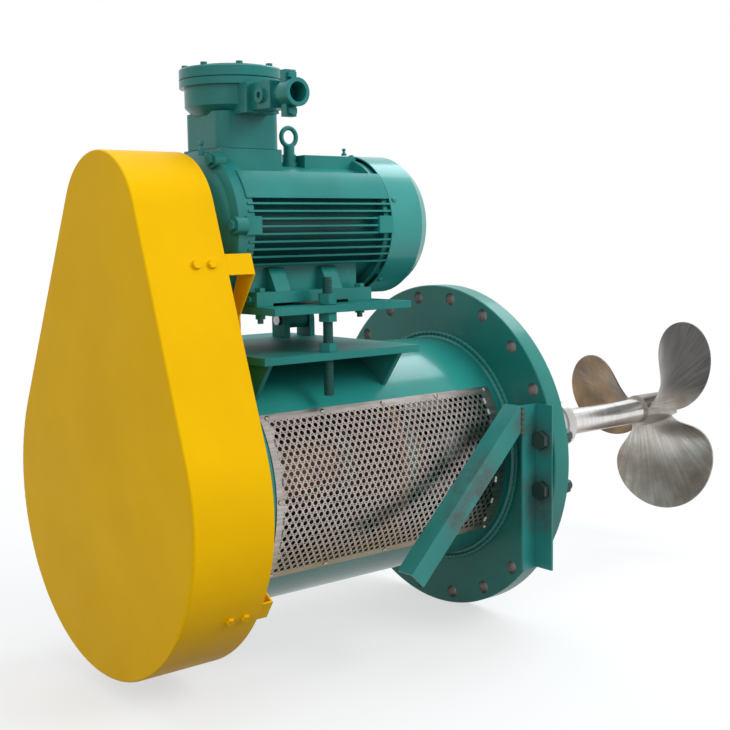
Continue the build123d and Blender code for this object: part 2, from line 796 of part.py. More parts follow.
def upper_brackets():
    """Bent strips that carry the guard's sides from the ends of the base plate."""
    brackets = []
    x_turn = base_plate_x0 - bracket_sheet
    for side, (seat, depth) in zip((-1, 1), upper_seats()):
        corners = [(seat.location * Pos(0, along * bracket_width / 2, -depth)).position for along in (1, -1)]
        high, low = sorted(corners, key=lambda place: -place.Z)
        edge = side * (abs(plate_near_y) - web_edge_inset)
        web = Polygon((high.Y, high.Z), (low.Y, low.Z), (edge, motor_plate_z0), (edge, base_plate_z0),
                      (edge - side * web_width, base_plate_z0),
                      (edge - side * web_width, motor_plate_z0 - web_width / 2),
                      (high.Y - side * web_width / 2, high.Z), align=None)
        brackets.append(bracket_strip(seat, depth, x_turn) + plate_x(web, x_turn, x_turn + bracket_sheet))
    return brackets


def lower_brackets():
    """Bent strips on the guard's lower sides, turned in to the stool's drive end plate."""
    x_turn = end_plate_x0 - bracket_sheet
    reach = guard_low_r - tube_r + end_plate_lap
    brackets = []
    for seat, depth in lower_seats():
        leg = block(x_turn, end_plate_x0, -bracket_width / 2, bracket_width / 2, -reach, -depth)
        brackets.append(bracket_strip(seat, depth, x_turn) + seat.location * leg)
    return brackets


def guard_bolts():
    pieces = []
    for seat, depth in (*upper_seats(), *lower_seats()):
        bolt = hex_bolt(guard_bolt_d, depth + bracket_sheet + guard_bolt_end)
        pieces += [seat.location * Pos(x, 0, 0) * bolt for x in bracket_bolt_x]
    return pieces


# ---------------------------------------------------------------- mixer shaft
def mixer_shaft():
    rear = pulley_centre_x - rim_half_width
    steps = [
        (rear - 22, thread_end_d), (rear - 2, pulley_seat_d),
        (rear_bearing_x - 1, bearing_seat_d), (rear_bearing_x + bearing_width + 2, shaft_mid_d),
        (front_bearing_x - 2, front_seat_d), (front_bearing_x + front_bearing_width + 2, seal_seat_d),
        (-32, shaft_d), (hub_centre_x - hub_length / 2, tail_d)]
    end = hub_centre_x + hub_length / 2 + tail_nut_length - 8
    points = [(steps[0][0], 0)]
    for (x, d), following in zip(steps, steps[1:] + [(end, 0)]):
        points += [(x, d / 2), (following[0], d / 2)]
    return turned_x(points + [(end, 0)])


def shaft_locknut():
    rear = pulley_centre_x - rim_half_width
    nut = ring_x(44, thread_end_d / 2 + run_gap, rear - 16, rear - 2)
    for y, z in around(4, 44):
        nut -= facing(rear - 9, y, z, (1, 0, 0)) * Box(9, 9, 30)
    return nut


def shaft_collar():
    """Stepped shut-off collar clamped on the shaft inside the tank."""
    outer, waist, bore = collar_d / 2, collar_d / 2 - collar_step, shaft_d / 2 + run_gap
    x0, x1 = collar_x1 - collar_length, collar_x1
    bevel = collar_step / 2
    return turned_x([
        (x0, bore), (x0, outer - bevel), (x0 + bevel, outer), (x0 + collar_rim, outer),
        (x0 + collar_rim, waist), (x1 - collar_rim, waist), (x1 - collar_rim, outer), (x1 - bevel, outer),
        (x1, outer - bevel), (x1, bore)])


def seal_ring():
    """The mechanical seal's turning part: a collar and its spring, clamped on the shaft."""
    return turned_x([
        (seal_x0 + 4, seal_seat_d / 2 + run_gap), (seal_x0 + 4, seal_seat_d / 2 + 9),
        (seal_x0 + 30, seal_seat_d / 2 + 9), (seal_x0 + 30, seal_seat_d / 2 + 6),
        (seal_x0 + 56, seal_seat_d / 2 + 6), (seal_x0 + 56, seal_seat_d / 2 + run_gap)])


def blade_half_chord(r):
    """Half the blade's width, measured round the shaft, at radius r."""
    if r >= blade_widest_r:
        share = (r - blade_widest_r) / (blade_r - blade_widest_r)
        return blade_half_width * sqrt(max(0, 1 - share ** 2))
    share = max(0, (r - hub_r) / (blade_widest_r - hub_r))
    swell = sin(share * pi / 2) ** 1.2
    return blade_neck_half_width + (blade_half_width - blade_neck_half_width) * swell


def blade_face(side):
    """One side of a blade as a smooth screw surface; a blade points along +Z here."""
    rows = []
    for i in range(8):
        r = hub_r * 0.45 + (blade_r + 12 - hub_r * 0.45) * i / 7
        thick = blade_root_t + (blade_edge_t - blade_root_t) * i / 7
        row = []
        for j in range(-4, 5):
            turn = j / 4 * 1.15
            crown = max(0, 1 - (turn / (blade_half_chord(min(r, blade_r - 20)) / r + 0.12)) ** 2)
            half = blade_edge_t / 2 + (thick - blade_edge_t) / 2 * crown + 0.2
            row.append(Vector(-blade_pitch / (2 * pi) * turn + side * half, -r * sin(turn), r * cos(turn)))
        rows.append(row)
    return Face.make_surface_from_array_of_points(rows, tol=0.5, min_deg=2, max_deg=4)


def blade():
    """The outline seen along the shaft, cut to the space between the blade's two faces."""
    steps = 9
    side = []
    for i in range(steps + 1):
        r = blade_r - (blade_r - hub_r * 0.85) * (1 - cos(pi / 2 * (i + 0.35) / (steps + 0.35)))
        turn = blade_half_chord(r) / r
        side.append((-r * sin(turn), r * cos(turn)))
    tip = (0, blade_r)
    leading = side[::-1]
    trailing = [(-y, z) for y, z in side]
    edge = Spline(*leading, tip, *trailing)
    closing = Line(trailing[-1], leading[0])
    outline = make_face(Curve() + [edge, closing])
    reach = 210
    prism = plate_x(outline, -reach, reach)
    prism = split(prism, bisect_by=blade_face(1), keep=Keep.BOTTOM)
    return split(prism, bisect_by=blade_face(-1), keep=Keep.TOP)


def propeller():
    body = disc_x(hub_r, -hub_length / 2, hub_length / 2)
    one = blade()
    for i in range(blade_count):
        body += Rot(blade_turn + 360 * i / blade_count, 0, 0) * one
    half = hub_length / 2
    body -= disc_x(shaft_d / 2 + lay_gap, -4 * half, -half) + disc_x(tail_nut_flats * 0.6, half, 4 * half)
    body -= disc_x(tail_d / 2 + fit_gap, -hub_length, hub_length)
    return Pos(hub_centre_x, 0, 0) * body


def propeller_nut():
    x0 = hub_centre_x + hub_length / 2
    nut = facing(x0, 0, 0, (1, 0, 0)) * hexagon(tail_nut_flats, tail_nut_length)
    return nut - disc_x(tail_d / 2 + run_gap, x0 - 1, x0 + tail_nut_length - 6)


# ---------------------------------------------------------------- motor
eye_seat_z = motor_z + fin_tip_r - 19


def foot_holes():
    for x in (foot_hole_x, foot_hole_x + foot_pitch_x):
        for side in (-1, 1):
            yield x, motor_y + side * foot_pitch_y / 2


def motor_frame():
    """Cast frame: round bore, level fins on both sides, a flat top ledge and two feet."""
    body = disc_x(frame_r, frame_x0, frame_x1, motor_y, motor_z)
    body += disc_x(fin_tip_r - 3, frame_x0, frame_x0 + 24, motor_y, motor_z)
    body += disc_x(fin_tip_r - 10, frame_x1 - 12, frame_x1, motor_y, motor_z)
    fins_x0 = frame_x0 + 10
    envelope = disc_x(fin_tip_r, fins_x0, frame_x1, motor_y, motor_z)
    reach = (motor_y - fin_tip_r, motor_y + fin_tip_r)
    for i in range(fin_count):
        z = motor_z + lowest_fin + i * fin_pitch
        body += block(fins_x0, frame_x1, *reach, z - fin_t / 2, z + fin_t / 2) & envelope
    body += block(fins_x0, frame_x1, *reach, motor_z + ledge_top / 2, motor_z + ledge_top) & envelope
    body += block(ridge_x0, frame_x1, motor_y - ridge_half_width, motor_y + ridge_half_width,
                  motor_z + 90, motor_z + ridge_rise)
    half = box_side / 2 - 1
    body += block(box_x - half, box_x + half, motor_y - half, motor_y + half,
                  motor_z + 90, motor_z + box_seat_rise)
    body += upright(18, motor_z + 100, eye_seat_z, eye_x, motor_y)
    for side in (-1, 1):
        outer = motor_y + side * (foot_pitch_y / 2 + foot_outer_gap)
        inner = outer - side * foot_width
        span = (min(outer, inner), max(outer, inner))
        foot = block(foot_x0, foot_x0 + foot_length, *span, motor_plate_z1, motor_plate_z1 + foot_h)
        relief = block(foot_hole_x + 20, foot_hole_x + foot_pitch_x - 44, span[0] - 1, span[1] + 1,
                       motor_plate_z1 - 1, motor_plate_z1 + foot_relief)
        body += foot - relief
        wall_y = motor_y + side * (foot_pitch_y / 2 - foot_wall_inset)
        body += block(foot_x0 + foot_t, foot_x0 + foot_length - foot_t,
                      wall_y - foot_t / 2, wall_y + foot_t / 2,
                      motor_plate_z1 + foot_h - 1, motor_z - 80)
        for x0 in (foot_hole_x + 32, foot_hole_x + 164):
            foot_top = motor_plate_z1 + foot_h - 1
            rib = Polygon((outer - side * 6, foot_top), (inner, foot_top),
                          (motor_y + side * 60, motor_z - 112),
                          (motor_y + side * 112, motor_z - 84), align=None)
            body += plate_x(rib, x0, x0 + rib_width)
    for x, y in foot_holes():
        body -= upright(foot_hole_d / 2, motor_plate_z1 - 1, motor_plate_z1 + foot_h + 1, x, y)
    for x0, x1 in ((frame_x0, frame_x0 + lug_size), (frame_x1 - lug_size, frame_x1)):
        for side in (-1, 1):
            y = motor_y + side * (fin_tip_r - 15)
            half = lug_size / 2
            body += block(x0, x1, y - half, y + half, motor_z - half, motor_z + half)
    return body - disc_x(frame_bore_r, frame_x0 - 1, frame_x1 + 1, motor_y, motor_z)


def drive_end_shield():
    """Dished casting that carries the drive end bearing, with six bolt lugs."""
    bore = 45
    body = turned_x([
        (frame_x0, bore), (frame_x0, fin_tip_r - 3), (frame_x0 - 14, fin_tip_r - 3),
        (frame_x0 - 22, fin_tip_r - 20), (shield_x0 + 18, 96), (shield_x0 + 12, shield_nose_r + 4),
        (shield_x0, shield_nose_r),
        (shield_x0, motor_shaft_d / 2 + 3), (shield_x0 + 12, motor_shaft_d / 2 + 3), (shield_x0 + 12, bore)],
        motor_y, motor_z)
    for y, z in around(6, fin_tip_r - 4, 0, motor_y, motor_z):
        body += disc_x(shield_lug_r, frame_x0 - shield_lug_t, frame_x0, y, z)
    return body


def fan_end_shield():
    bore = 36
    body = turned_x([
        (frame_x1, bore), (frame_x1, fin_tip_r - 12), (frame_x1 + 10, fin_tip_r - 12), (frame_x1 + 26, 62),
        (frame_x1 + 34, 54), (frame_x1 + 34, motor_shaft_d / 2 + 3), (frame_x1 + 26, motor_shaft_d / 2 + 3),
        (frame_x1 + 26, bore)], motor_y, motor_z)
    for y, z in around(4, cowl_r - cowl_wall - fit_gap - cowl_lug_r, 45, motor_y, motor_z):
        body += disc_x(cowl_lug_r, frame_x1, frame_x1 + 24, y, z)
    return body


def shield_bolts():
    return [facing(frame_x0 - shield_lug_t, y, z, (-1, 0, 0)) * hex_head(shield_bolt_d)
            for y, z in around(6, fin_tip_r - 4, 0, motor_y, motor_z)]


def fan_cowl():
    """Pressed steel hood over the fan, open at the front and slotted at the back."""
    x0 = frame_x1 + cowl_front_gap
    x1 = x0 + cowl_length
    crease = x1 - cowl_crease
    w = cowl_wall
    body = turned_x([
        (x0, cowl_r - w), (x0, cowl_r), (crease, cowl_r), (x1 - 8, cowl_back_r),
        (x1, cowl_back_r - 14), (x1, 0), (x1 - w, 0), (x1 - w, cowl_back_r - 16),
        (x1 - 10, cowl_back_r - w), (crease - 1, cowl_r - w)],
        motor_y, motor_z)
    for ring_r, count in ((95, 20), (58, 12)):
        for i in range(count):
            slot = Pos(x1 - w, 0, ring_r) * Box(6 * w, 9, 28)
            body -= Pos(0, motor_y, motor_z) * Rot(360 * i / count, 0, 0) * slot
    return body


def stator_core():
    return ring_x(frame_bore_r - fit_gap, rotor_r + 1, core_x0, core_x1, motor_y, motor_z)


def rotor_core():
    return ring_x(rotor_r, motor_shaft_d / 2 + 8 + run_gap, core_x0, core_x1, motor_y, motor_z)


def motor_shaft():
    seat = motor_shaft_d / 2
    shoulder = shield_x0 + 12
    back = frame_x1 + 26
    return turned_x([
        (motor_end_x, 0), (motor_end_x, seat), (shoulder - 2, seat), (shoulder - 2, seat + 2),
        (shoulder + 32, seat + 2), (shoulder + 32, seat + 8), (frame_x1 - 8, seat + 8),
        (frame_x1 - 8, seat - 1), (back + 12, seat - 1), (back + 12, seat - 4), (back + 62, seat - 4),
        (back + 62, 0)], motor_y, motor_z)


def motor_bearings():
    """Outer rings in the shields, inner rings on the shaft, at the drive and fan ends."""
    outer, inner = [], []
    width, ring_t = 24, 7
    for x0, bore, race in ((shield_x0 + 12, motor_shaft_d / 2 + 2, 45),
                           (frame_x1, motor_shaft_d / 2 - 1, 36)):
        span = (x0 + fit_gap, x0 + width, motor_y, motor_z)
        outer.append(ring_x(race - fit_gap, race - ring_t, *span))
        inner.append(ring_x(race - ring_t - fit_gap, bore + run_gap, *span))
    return outer, inner


def cooling_fan():
    x0 = frame_x1 + 40
    body = ring_x(fan_hub_r, motor_shaft_d / 2 - 4 + run_gap, x0, x0 + 46, motor_y, motor_z)
    body += ring_x(fan_r, fan_hub_r - 2, x0, x0 + 4, motor_y, motor_z)
    vane = Pos(x0 + 22, 0, (fan_r + fan_hub_r) / 2 - 1) * Box(40, 4, fan_r - fan_hub_r + 2)
    for i in range(fan_vane_count):
        body += Pos(0, motor_y, motor_z) * Rot(360 * i / fan_vane_count, 0, 0) * vane
    return body


# ---------------------------------------------------------------- terminal box
def terminal_box():
    """Square necked casting that opens into a round flanged chamber."""
    square = RectangleRounded(box_side, box_side, box_corner_r)
    body = plate_z(Pos(box_x, motor_y) * square, box_bottom, box_neck_top + 6)
    chamber = upright(box_r, box_neck_top, box_top, box_x, motor_y)
    body += chamfer(chamber.edges().filter_by(GeomType.CIRCLE).sort_by(Axis.Z)[0], box_r - box_side / 2 - 4)
    body += upright(lid_r, box_top - 14, box_top, box_x, motor_y)
    body += block(*gland_pad_x, gland_y0, motor_y, *gland_pad_z)
    body -= upright(box_r - box_wall, box_neck_top + box_wall, box_top + 1, box_x, motor_y)
    body -= upright(box_side / 2 - box_wall, box_bottom + box_wall, box_top + 1, box_x, motor_y)
    body -= Pos(gland_x, motor_y - 60, gland_z) * Rot(90, 0, 0) * Cylinder(
        gland_bore_d / 2, box_r + 60, align=(Align.CENTER, Align.CENTER, Align.MIN))
    return body


def terminal_lid():
    body = upright(lid_r, box_top + 2, box_top + lid_t - 4, box_x, motor_y)
    body = chamfer(body.edges().filter_by(GeomType.CIRCLE).sort_by(Axis.Z)[-1], 3)
    body += upright(lid_r - 3, box_top, box_top + 3, box_x, motor_y)
    body += upright(lid_r - 26, box_top + lid_t - 5, box_top + lid_t, box_x, motor_y)
    lug_z = (box_top + lid_t - 1, box_top + lid_t + 8)
    return body + block(box_x - 16, box_x + 16, motor_y - 7, motor_y + 7, *lug_z)


def lid_bolts():
    pieces = []
    for i in range(8):
        angle = radians(22.5 + 45 * i)
        x, y = box_x + (lid_r - 12) * cos(angle), motor_y + (lid_r - 12) * sin(angle)
        pieces.append(Pos(x, y, box_top + lid_t - 4) * hexagon(13, 6))
    return pieces


def along_near(radius, y0, y1, x=gland_x, z=gland_z):
    """A cylinder along -Y, from y0 out to y1."""
    turned = Rot(90, 0, 0) * Cylinder(radius, y0 - y1, align=(Align.CENTER, Align.CENTER, Align.MIN))
    return Pos(x, y0, z) * turned


def cable_gland():
    """Adapter: flange plate on the box, square block and the threaded neck."""
    half = gland_block / 2
    body = block(*gland_pad_x, gland_y1, gland_y0, *gland_pad_z)
    body += block(gland_x - half, gland_x + half, gland_y2, gland_y1, gland_z - half, gland_z + half)
    body += along_near(half - 6, gland_y2, gland_y3)
    plug_y = gland_y1 - gland_block_length / 2
    body += ring_x(15, 6, gland_x - half - 6, gland_x - half, plug_y, gland_z)
    return body - along_near(gland_bore_d / 2 - 3, gland_y0 + 1, gland_y3 - 1)


def gland_mouth():
    """Bell mouth with two clamp ears, screwed to the neck."""
    body = along_near(gland_mouth_r - 3, gland_y3, gland_y4 + 8)
    body += along_near(gland_mouth_r, gland_y4 + 8, gland_y4)
    body += block(gland_x - 12, gland_x + 12, gland_y3 - clamp_t, gland_y3,
                  gland_z - clamp_half_h, gland_z + clamp_half_h)
    return body - along_near(gland_bore_d / 2, gland_y3 + 1, gland_y4 - 1)


def gland_bolts():
    pieces = []
    for side in (-1, 1):
        place = facing(gland_x, gland_y3 - clamp_t, gland_z + side * (clamp_half_h - 10), (0, -1, 0))
        pieces.append(place * hexagon(16, 8))
    return pieces


def eye_bolt():
    collar = upright(15, eye_seat_z, eye_seat_z + 16, eye_x, motor_y)
    collar += upright(12, eye_seat_z + 15, eye_seat_z + 34, eye_x, motor_y)
    ring = Pos(eye_x, motor_y, eye_seat_z + 34 + eye_ring_r) * Rot(90, 0, 0) * Torus(eye_ring_r, eye_wire_r)
    return collar + ring


def foot_bolts():
    pieces = []
    top = motor_plate_z1 + foot_h
    for x, y in foot_holes():
        pieces.append(Pos(x, y, top) * hex_bolt(foot_bolt_d, foot_h + plate_t + 1.6 * foot_bolt_d))
        pieces.append(Pos(x, y, motor_plate_z0 - 0.85 * foot_bolt_d) * hex_nut(foot_bolt_d))
    return pieces


def earth_bolt():
    x, y, z = foot_x0, motor_y - foot_pitch_y / 2, motor_plate_z1 + foot_h / 2
    return disc_x(11, x - 3, x, y, z) + facing(x - 3, y, z, (-1, 0, 0)) * hexagon(13, 7)


# ---------------------------------------------------------------- write every node
outer_rings, inner_rings = motor_bearings()

save("mounting_flange", mounting_flange())
save("stool_tube", stool_tube())
save("drive_end_plate", drive_end_plate())
save("mesh_guard_near", mesh_guard(-1))
save("mesh_guard_far", mesh_guard(1))
save("bearing_housing", bearing_housing())
save("bearing_support_ring", support_ring())
save("bearing_outer_rings", *bearing_outer_rings())
save("bearing_inner_rings", *bearing_inner_rings())
save("bearing_covers", *bearing_covers())
save("cover_bolts", *cover_bolts())
save("seal_housing", seal_housing())
save("seal_gland", *seal_gland())
save("seal_ring", seal_ring())
save("base_plate", base_plate())
save("base_gussets", *base_gussets())
save("hinge_lugs", *hinge_lugs())
save("hinge_pins", *hinge_pins())
save("hinge_barrels", *hinge_barrels())
save("motor_plate", motor_plate())
save("tension_stud", tension_stud())
save("stud_lock_nuts", stud_nut(base_plate_z1))
save("tension_nuts", stud_nut(motor_plate_z0 - nut_gap - stud_nut_h), stud_washer(motor_plate_z1 + nut_gap),
     stud_nut(motor_plate_z1 + nut_gap + washer_t))
save("brace_post", brace_post())
save("brace_strut", brace_strut())
save("brace_bolts", *brace_bolts())
save("belt_guard", belt_guard())
save("guard_back_plate", guard_back_plate())
save("guard_brackets_upper", *upper_brackets())
save("guard_brackets_lower", *lower_brackets())
save("guard_bolts", *guard_bolts())
save("driven_pulley", driven_pulley())
save("taper_bush", taper_bush())
save("shaft_locknut", shaft_locknut())
save("motor_pulley", motor_pulley())
save("v_belts", *v_belts())
save("mixer_shaft", mixer_shaft())
save("shaft_collar", shaft_collar())
save("propeller", propeller())
save("propeller_nut", propeller_nut())
save("motor_frame", motor_frame())
save("drive_end_shield", drive_end_shield())
save("fan_end_shield", fan_end_shield())
save("shield_bolts", *shield_bolts())
save("fan_cowl", fan_cowl())
save("stator_core", stator_core())
save("rotor_core", rotor_core())
save("motor_shaft", motor_shaft())
save("motor_bearing_outer_rings", *outer_rings)
save("motor_bearing_inner_rings", *inner_rings)
save("cooling_fan", cooling_fan())
save("terminal_box", terminal_box())
save("terminal_lid", terminal_lid())
save("lid_bolts", *lid_bolts())
save("cable_gland", cable_gland())
save("gland_mouth", gland_mouth())
save("gland_bolts", *gland_bolts())
save("eye_bolt", eye_bolt())
save("foot_bolts", *foot_bolts())
save("earth_bolt", earth_bolt())
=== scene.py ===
"""Looks of a side entry tank mixer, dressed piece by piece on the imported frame.

Metres. +X runs along the mixer shaft into the tank, +Z is up, -Y is the side with the tension stud.
"""
import math

import bmesh
import bpy
from mathutils import Matrix, Vector


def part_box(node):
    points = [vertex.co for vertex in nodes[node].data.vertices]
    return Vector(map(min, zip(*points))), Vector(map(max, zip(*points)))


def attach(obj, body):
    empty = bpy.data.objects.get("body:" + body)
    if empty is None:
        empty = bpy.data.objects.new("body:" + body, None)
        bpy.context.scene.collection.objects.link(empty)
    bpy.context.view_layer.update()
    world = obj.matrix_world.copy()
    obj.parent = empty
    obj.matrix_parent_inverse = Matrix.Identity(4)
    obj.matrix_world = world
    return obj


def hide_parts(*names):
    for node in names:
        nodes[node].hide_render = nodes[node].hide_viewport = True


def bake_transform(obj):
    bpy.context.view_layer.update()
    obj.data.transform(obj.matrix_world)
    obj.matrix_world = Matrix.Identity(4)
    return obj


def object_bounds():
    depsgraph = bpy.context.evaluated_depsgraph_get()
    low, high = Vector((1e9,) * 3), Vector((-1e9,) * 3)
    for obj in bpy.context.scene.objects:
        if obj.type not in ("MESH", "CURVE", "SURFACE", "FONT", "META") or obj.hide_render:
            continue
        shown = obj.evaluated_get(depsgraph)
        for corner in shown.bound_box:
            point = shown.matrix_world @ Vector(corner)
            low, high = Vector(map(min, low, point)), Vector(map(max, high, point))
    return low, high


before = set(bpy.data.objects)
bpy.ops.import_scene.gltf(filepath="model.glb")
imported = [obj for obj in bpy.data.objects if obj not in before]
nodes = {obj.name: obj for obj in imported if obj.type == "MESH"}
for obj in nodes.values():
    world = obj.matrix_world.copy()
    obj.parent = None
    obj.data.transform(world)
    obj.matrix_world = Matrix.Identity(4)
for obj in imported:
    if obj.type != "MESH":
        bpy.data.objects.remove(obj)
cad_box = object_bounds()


# ---------------------------------------------------------------- mounting flange
# Turned steel plate with twenty bolt holes, welded to the end of the tube and sprayed green. Its
# joint face on the tank side is bare, with turning marks, and the holes are drilled steel.
def srgb(red, green, blue):
    """A paint colour given as 0-255 values, in the linear form that shaders take."""
    def linear(value):
        value /= 255
        return value / 12.92 if value <= 0.04045 else ((value + 0.055) / 1.055) ** 2.4
    return (linear(red), linear(green), linear(blue), 1)


class Finish:
    """A material under construction, with short ways to add and join its nodes."""

    def __init__(self, name, roughness, metallic=0.0):
        self.material = bpy.data.materials.new(name)
        self.material.use_nodes = True
        self.tree = self.material.node_tree
        self.shader = self.tree.nodes["Principled BSDF"]
        self.shader.inputs["Roughness"].default_value = roughness
        self.shader.inputs["Metallic"].default_value = metallic
        self.place = self.node("ShaderNodeTexCoord").outputs["Object"]

    def node(self, kind, **settings):
        made = self.tree.nodes.new(kind)
        for key, value in settings.items():
            setattr(made, key, value)
        return made

    def join(self, source, target):
        self.tree.links.new(source, target)

    def stretched(self, x, y, z):
        """Object coordinates with each axis scaled, for streaks and brush marks."""
        mapping = self.node("ShaderNodeMapping")
        mapping.inputs["Scale"].default_value = (x, y, z)
        self.join(self.place, mapping.inputs["Vector"])
        return mapping.outputs["Vector"]

    def noise(self, scale, detail=3.0, vector=None, roughness=0.5):
        made = self.node("ShaderNodeTexNoise")
        made.inputs["Scale"].default_value = scale
        made.inputs["Detail"].default_value = detail
        made.inputs["Roughness"].default_value = roughness
        self.join(vector or self.place, made.inputs["Vector"])
        return made.outputs["Fac"]

    def ramp(self, source, *stops):
        """A colour ramp; each stop is (position, colour) or (position, grey level)."""
        made = self.node("ShaderNodeValToRGB")
        elements = made.color_ramp.elements
        while len(elements) < len(stops):
            elements.new(0.5)
        for element, (position, value) in zip(elements, stops):
            element.position = position
            element.color = value if isinstance(value, tuple) else (value, value, value, 1)
        self.join(source, made.inputs["Fac"])
        return made.outputs["Color"]

    def mix(self, share, first, second, blend="MIX"):
        made = self.node("ShaderNodeMix", data_type="RGBA", blend_type=blend)
        sockets = (made.inputs["Factor"], made.inputs[6], made.inputs[7])
        for value, socket in zip((share, first, second), sockets):
            if hasattr(value, "is_linked"):
                self.join(value, socket)
            else:
                socket.default_value = value
        return made.outputs[2]

    def math(self, operation, first, second=None):
        made = self.node("ShaderNodeMath", operation=operation)
        for value, socket in zip((first, second), made.inputs):
            if hasattr(value, "is_linked"):
                self.join(value, socket)
            elif value is not None:
                socket.default_value = value
        return made.outputs[0]

    def along(self, axis):
        """Distance along X, Y or Z (0, 1 or 2) in metres."""
        made = self.node("ShaderNodeSeparateXYZ")
        self.join(self.place, made.inputs[0])
        return made.outputs[axis]

    def off_shaft(self):
        """Distance from the mixer shaft's axis in metres."""
        y, z = self.along(1), self.along(2)
        return self.math("SQRT", self.math("ADD", self.math("MULTIPLY", y, y), self.math("MULTIPLY", z, z)))

    def facing_down(self, low=0.1, high=0.9):
        """1 where the surface looks at the ground, 0 where it looks up or sideways."""
        normal = self.node("ShaderNodeNewGeometry").outputs["Normal"]
        split = self.node("ShaderNodeSeparateXYZ")
        self.join(normal, split.inputs[0])
        return self.fade(self.math("MULTIPLY", split.outputs[2], -1.0), low, high)

    def fade(self, source, low, high, start=0.0, end=1.0):
        """Smooth change from start, where the source is low, to end, where it is high."""
        made = self.node("ShaderNodeMapRange", interpolation_type="SMOOTHSTEP")
        made.inputs["From Min"].default_value = low
        made.inputs["From Max"].default_value = high
        made.inputs["To Min"].default_value = start
        made.inputs["To Max"].default_value = end
        self.join(source, made.inputs["Value"])
        return made.outputs["Result"]

    def near_to(self, centre, reach):
        """1 at a point, fading to 0 at the given reach."""
        made = self.node("ShaderNodeVectorMath", operation="DISTANCE")
        self.join(self.place, made.inputs[0])
        made.inputs[1].default_value = centre
        return self.fade(made.outputs["Value"], 0.2 * reach, reach, 1.0, 0.0)

    def colour(self, source):
        self.join(source, self.shader.inputs["Base Color"])

    def rough(self, source, low, high):
        made = self.node("ShaderNodeMapRange")
        made.inputs["To Min"].default_value = low
        made.inputs["To Max"].default_value = high
        self.join(source, made.inputs["Value"])
        self.join(made.outputs["Result"], self.shader.inputs["Roughness"])

    def bump(self, source, strength, distance, soften=0.0):
        """Surface relief, with the sharp edges rounded off by the given radius."""
        made = self.node("ShaderNodeBump")
        made.inputs["Strength"].default_value = strength
        made.inputs["Distance"].default_value = distance
        self.join(source, made.inputs["Height"])
        if soften:
            bevel = self.node("ShaderNodeBevel", samples=4)
            bevel.inputs["Radius"].default_value = soften
            self.join(bevel.outputs["Normal"], made.inputs["Normal"])
        self.join(made.outputs["Normal"], self.shader.inputs["Normal"])


def enamel(name, base, deep, roughness=0.3, soften=0.0015, dust=0.16, dust_colour=srgb(84, 116, 98),
           coat=0.12, stains=(), stain_colour=srgb(82, 78, 76)):
    """Sprayed enamel: cloudy colour, orange peel, a film of dust, smudges at the stated places, and painted
    shade that darkens the faces looking down.

    Each stain is (centre, reach).
    """
    finish = Finish(name, roughness)
    clouds = finish.ramp(finish.noise(5, 4), (0.3, deep), (0.7, base))
    patches = finish.ramp(finish.noise(6, 8, roughness=0.7), (0.45, 0.0), (0.85, dust))
    # painted shade: faces that look down are darkened towards 0.45 of the deep colour
    under = finish.math("MULTIPLY", finish.facing_down(), 0.4)
    coloured = finish.mix(patches, clouds, dust_colour)
    coloured = finish.mix(under, coloured, tuple(0.45 * part for part in deep[:3]) + (1,))
    for centre, reach in stains:
        streaks = finish.ramp(finish.noise(34, 6, roughness=0.7), (0.36, 0.15), (0.66, 0.85))
        smudge = finish.math("MULTIPLY", finish.near_to(centre, reach), streaks)
        coloured = finish.mix(smudge, coloured, stain_colour)
    finish.colour(coloured)
    finish.rough(finish.noise(12, 6), roughness - 0.05, roughness + 0.12)
    finish.bump(finish.noise(240, 2), 0.08, 0.0005, soften)
    finish.shader.inputs["Specular IOR Level"].default_value = 0.25
    finish.shader.inputs["Coat Weight"].default_value = coat
    finish.shader.inputs["Coat Roughness"].default_value = 0.1
    return finish


def paint(finish, *names):
    """Gives a finish to whole frame nodes."""
    for name in names:
        slots = nodes[name].material_slots
        for slot in slots:
            slot.material = finish.material


green = enamel("green_enamel", srgb(42, 142, 132), srgb(32, 122, 114))
flange_green = enamel("flange_enamel", srgb(40, 132, 122), srgb(30, 112, 104), 0.3)
flange_low, flange_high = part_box("mounting_flange")
joint_face = flange_green.math("MULTIPLY", flange_green.fade(flange_green.along(0), -0.0012, -0.0006),
                               flange_green.fade(flange_green.off_shaft(), 0.333, 0.334, 1.0, 0.0))
grooves = flange_green.node("ShaderNodeTexWave", wave_type="RINGS", rings_direction="X")
flange_green.join(flange_green.place, grooves.inputs["Vector"])
grooves.inputs["Scale"].default_value = 130
bare_face = flange_green.ramp(grooves.outputs["Fac"], (0.2, srgb(150, 148, 144)), (0.8, srgb(186, 184, 180)))
painted = flange_green.shader.inputs["Base Color"].links[0].from_socket
flange_green.colour(flange_green.mix(joint_face, painted, bare_face))
flange_green.join(flange_green.math("MULTIPLY", joint_face, 0.9), flange_green.shader.inputs["Metallic"])
paint(flange_green, "mounting_flange")



def as_piece(name, mesh, finish, smooth=True):
    """Turns a finished mesh into a piece of the scene with one material."""
    data = bpy.data.meshes.new(name)
    mesh.to_mesh(data)
    mesh.free()
    if smooth:
        data.shade_smooth()
    data.materials.append(finish.material)
    piece = bpy.data.objects.new(name, data)
    bpy.context.scene.collection.objects.link(piece)
    return piece


bolt_circle_r = 0.3625
bolt_hole_r = 0.015
bolt_hole_count = 20
brace_hole_y, brace_hole_z = -0.35, 0.07    # the two holes beyond these hold the brace's bolts
drilled = Finish("drilled_steel", 0.45, 0.7)
drilled.colour(drilled.ramp(drilled.noise(90, 4, drilled.stretched(6, 1, 1)), (0.3, srgb(112, 106, 104)),
                            (0.7, srgb(176, 172, 170))))
drilled.bump(drilled.noise(400, 2, drilled.stretched(4, 1, 1)), 0.2, 0.0004)


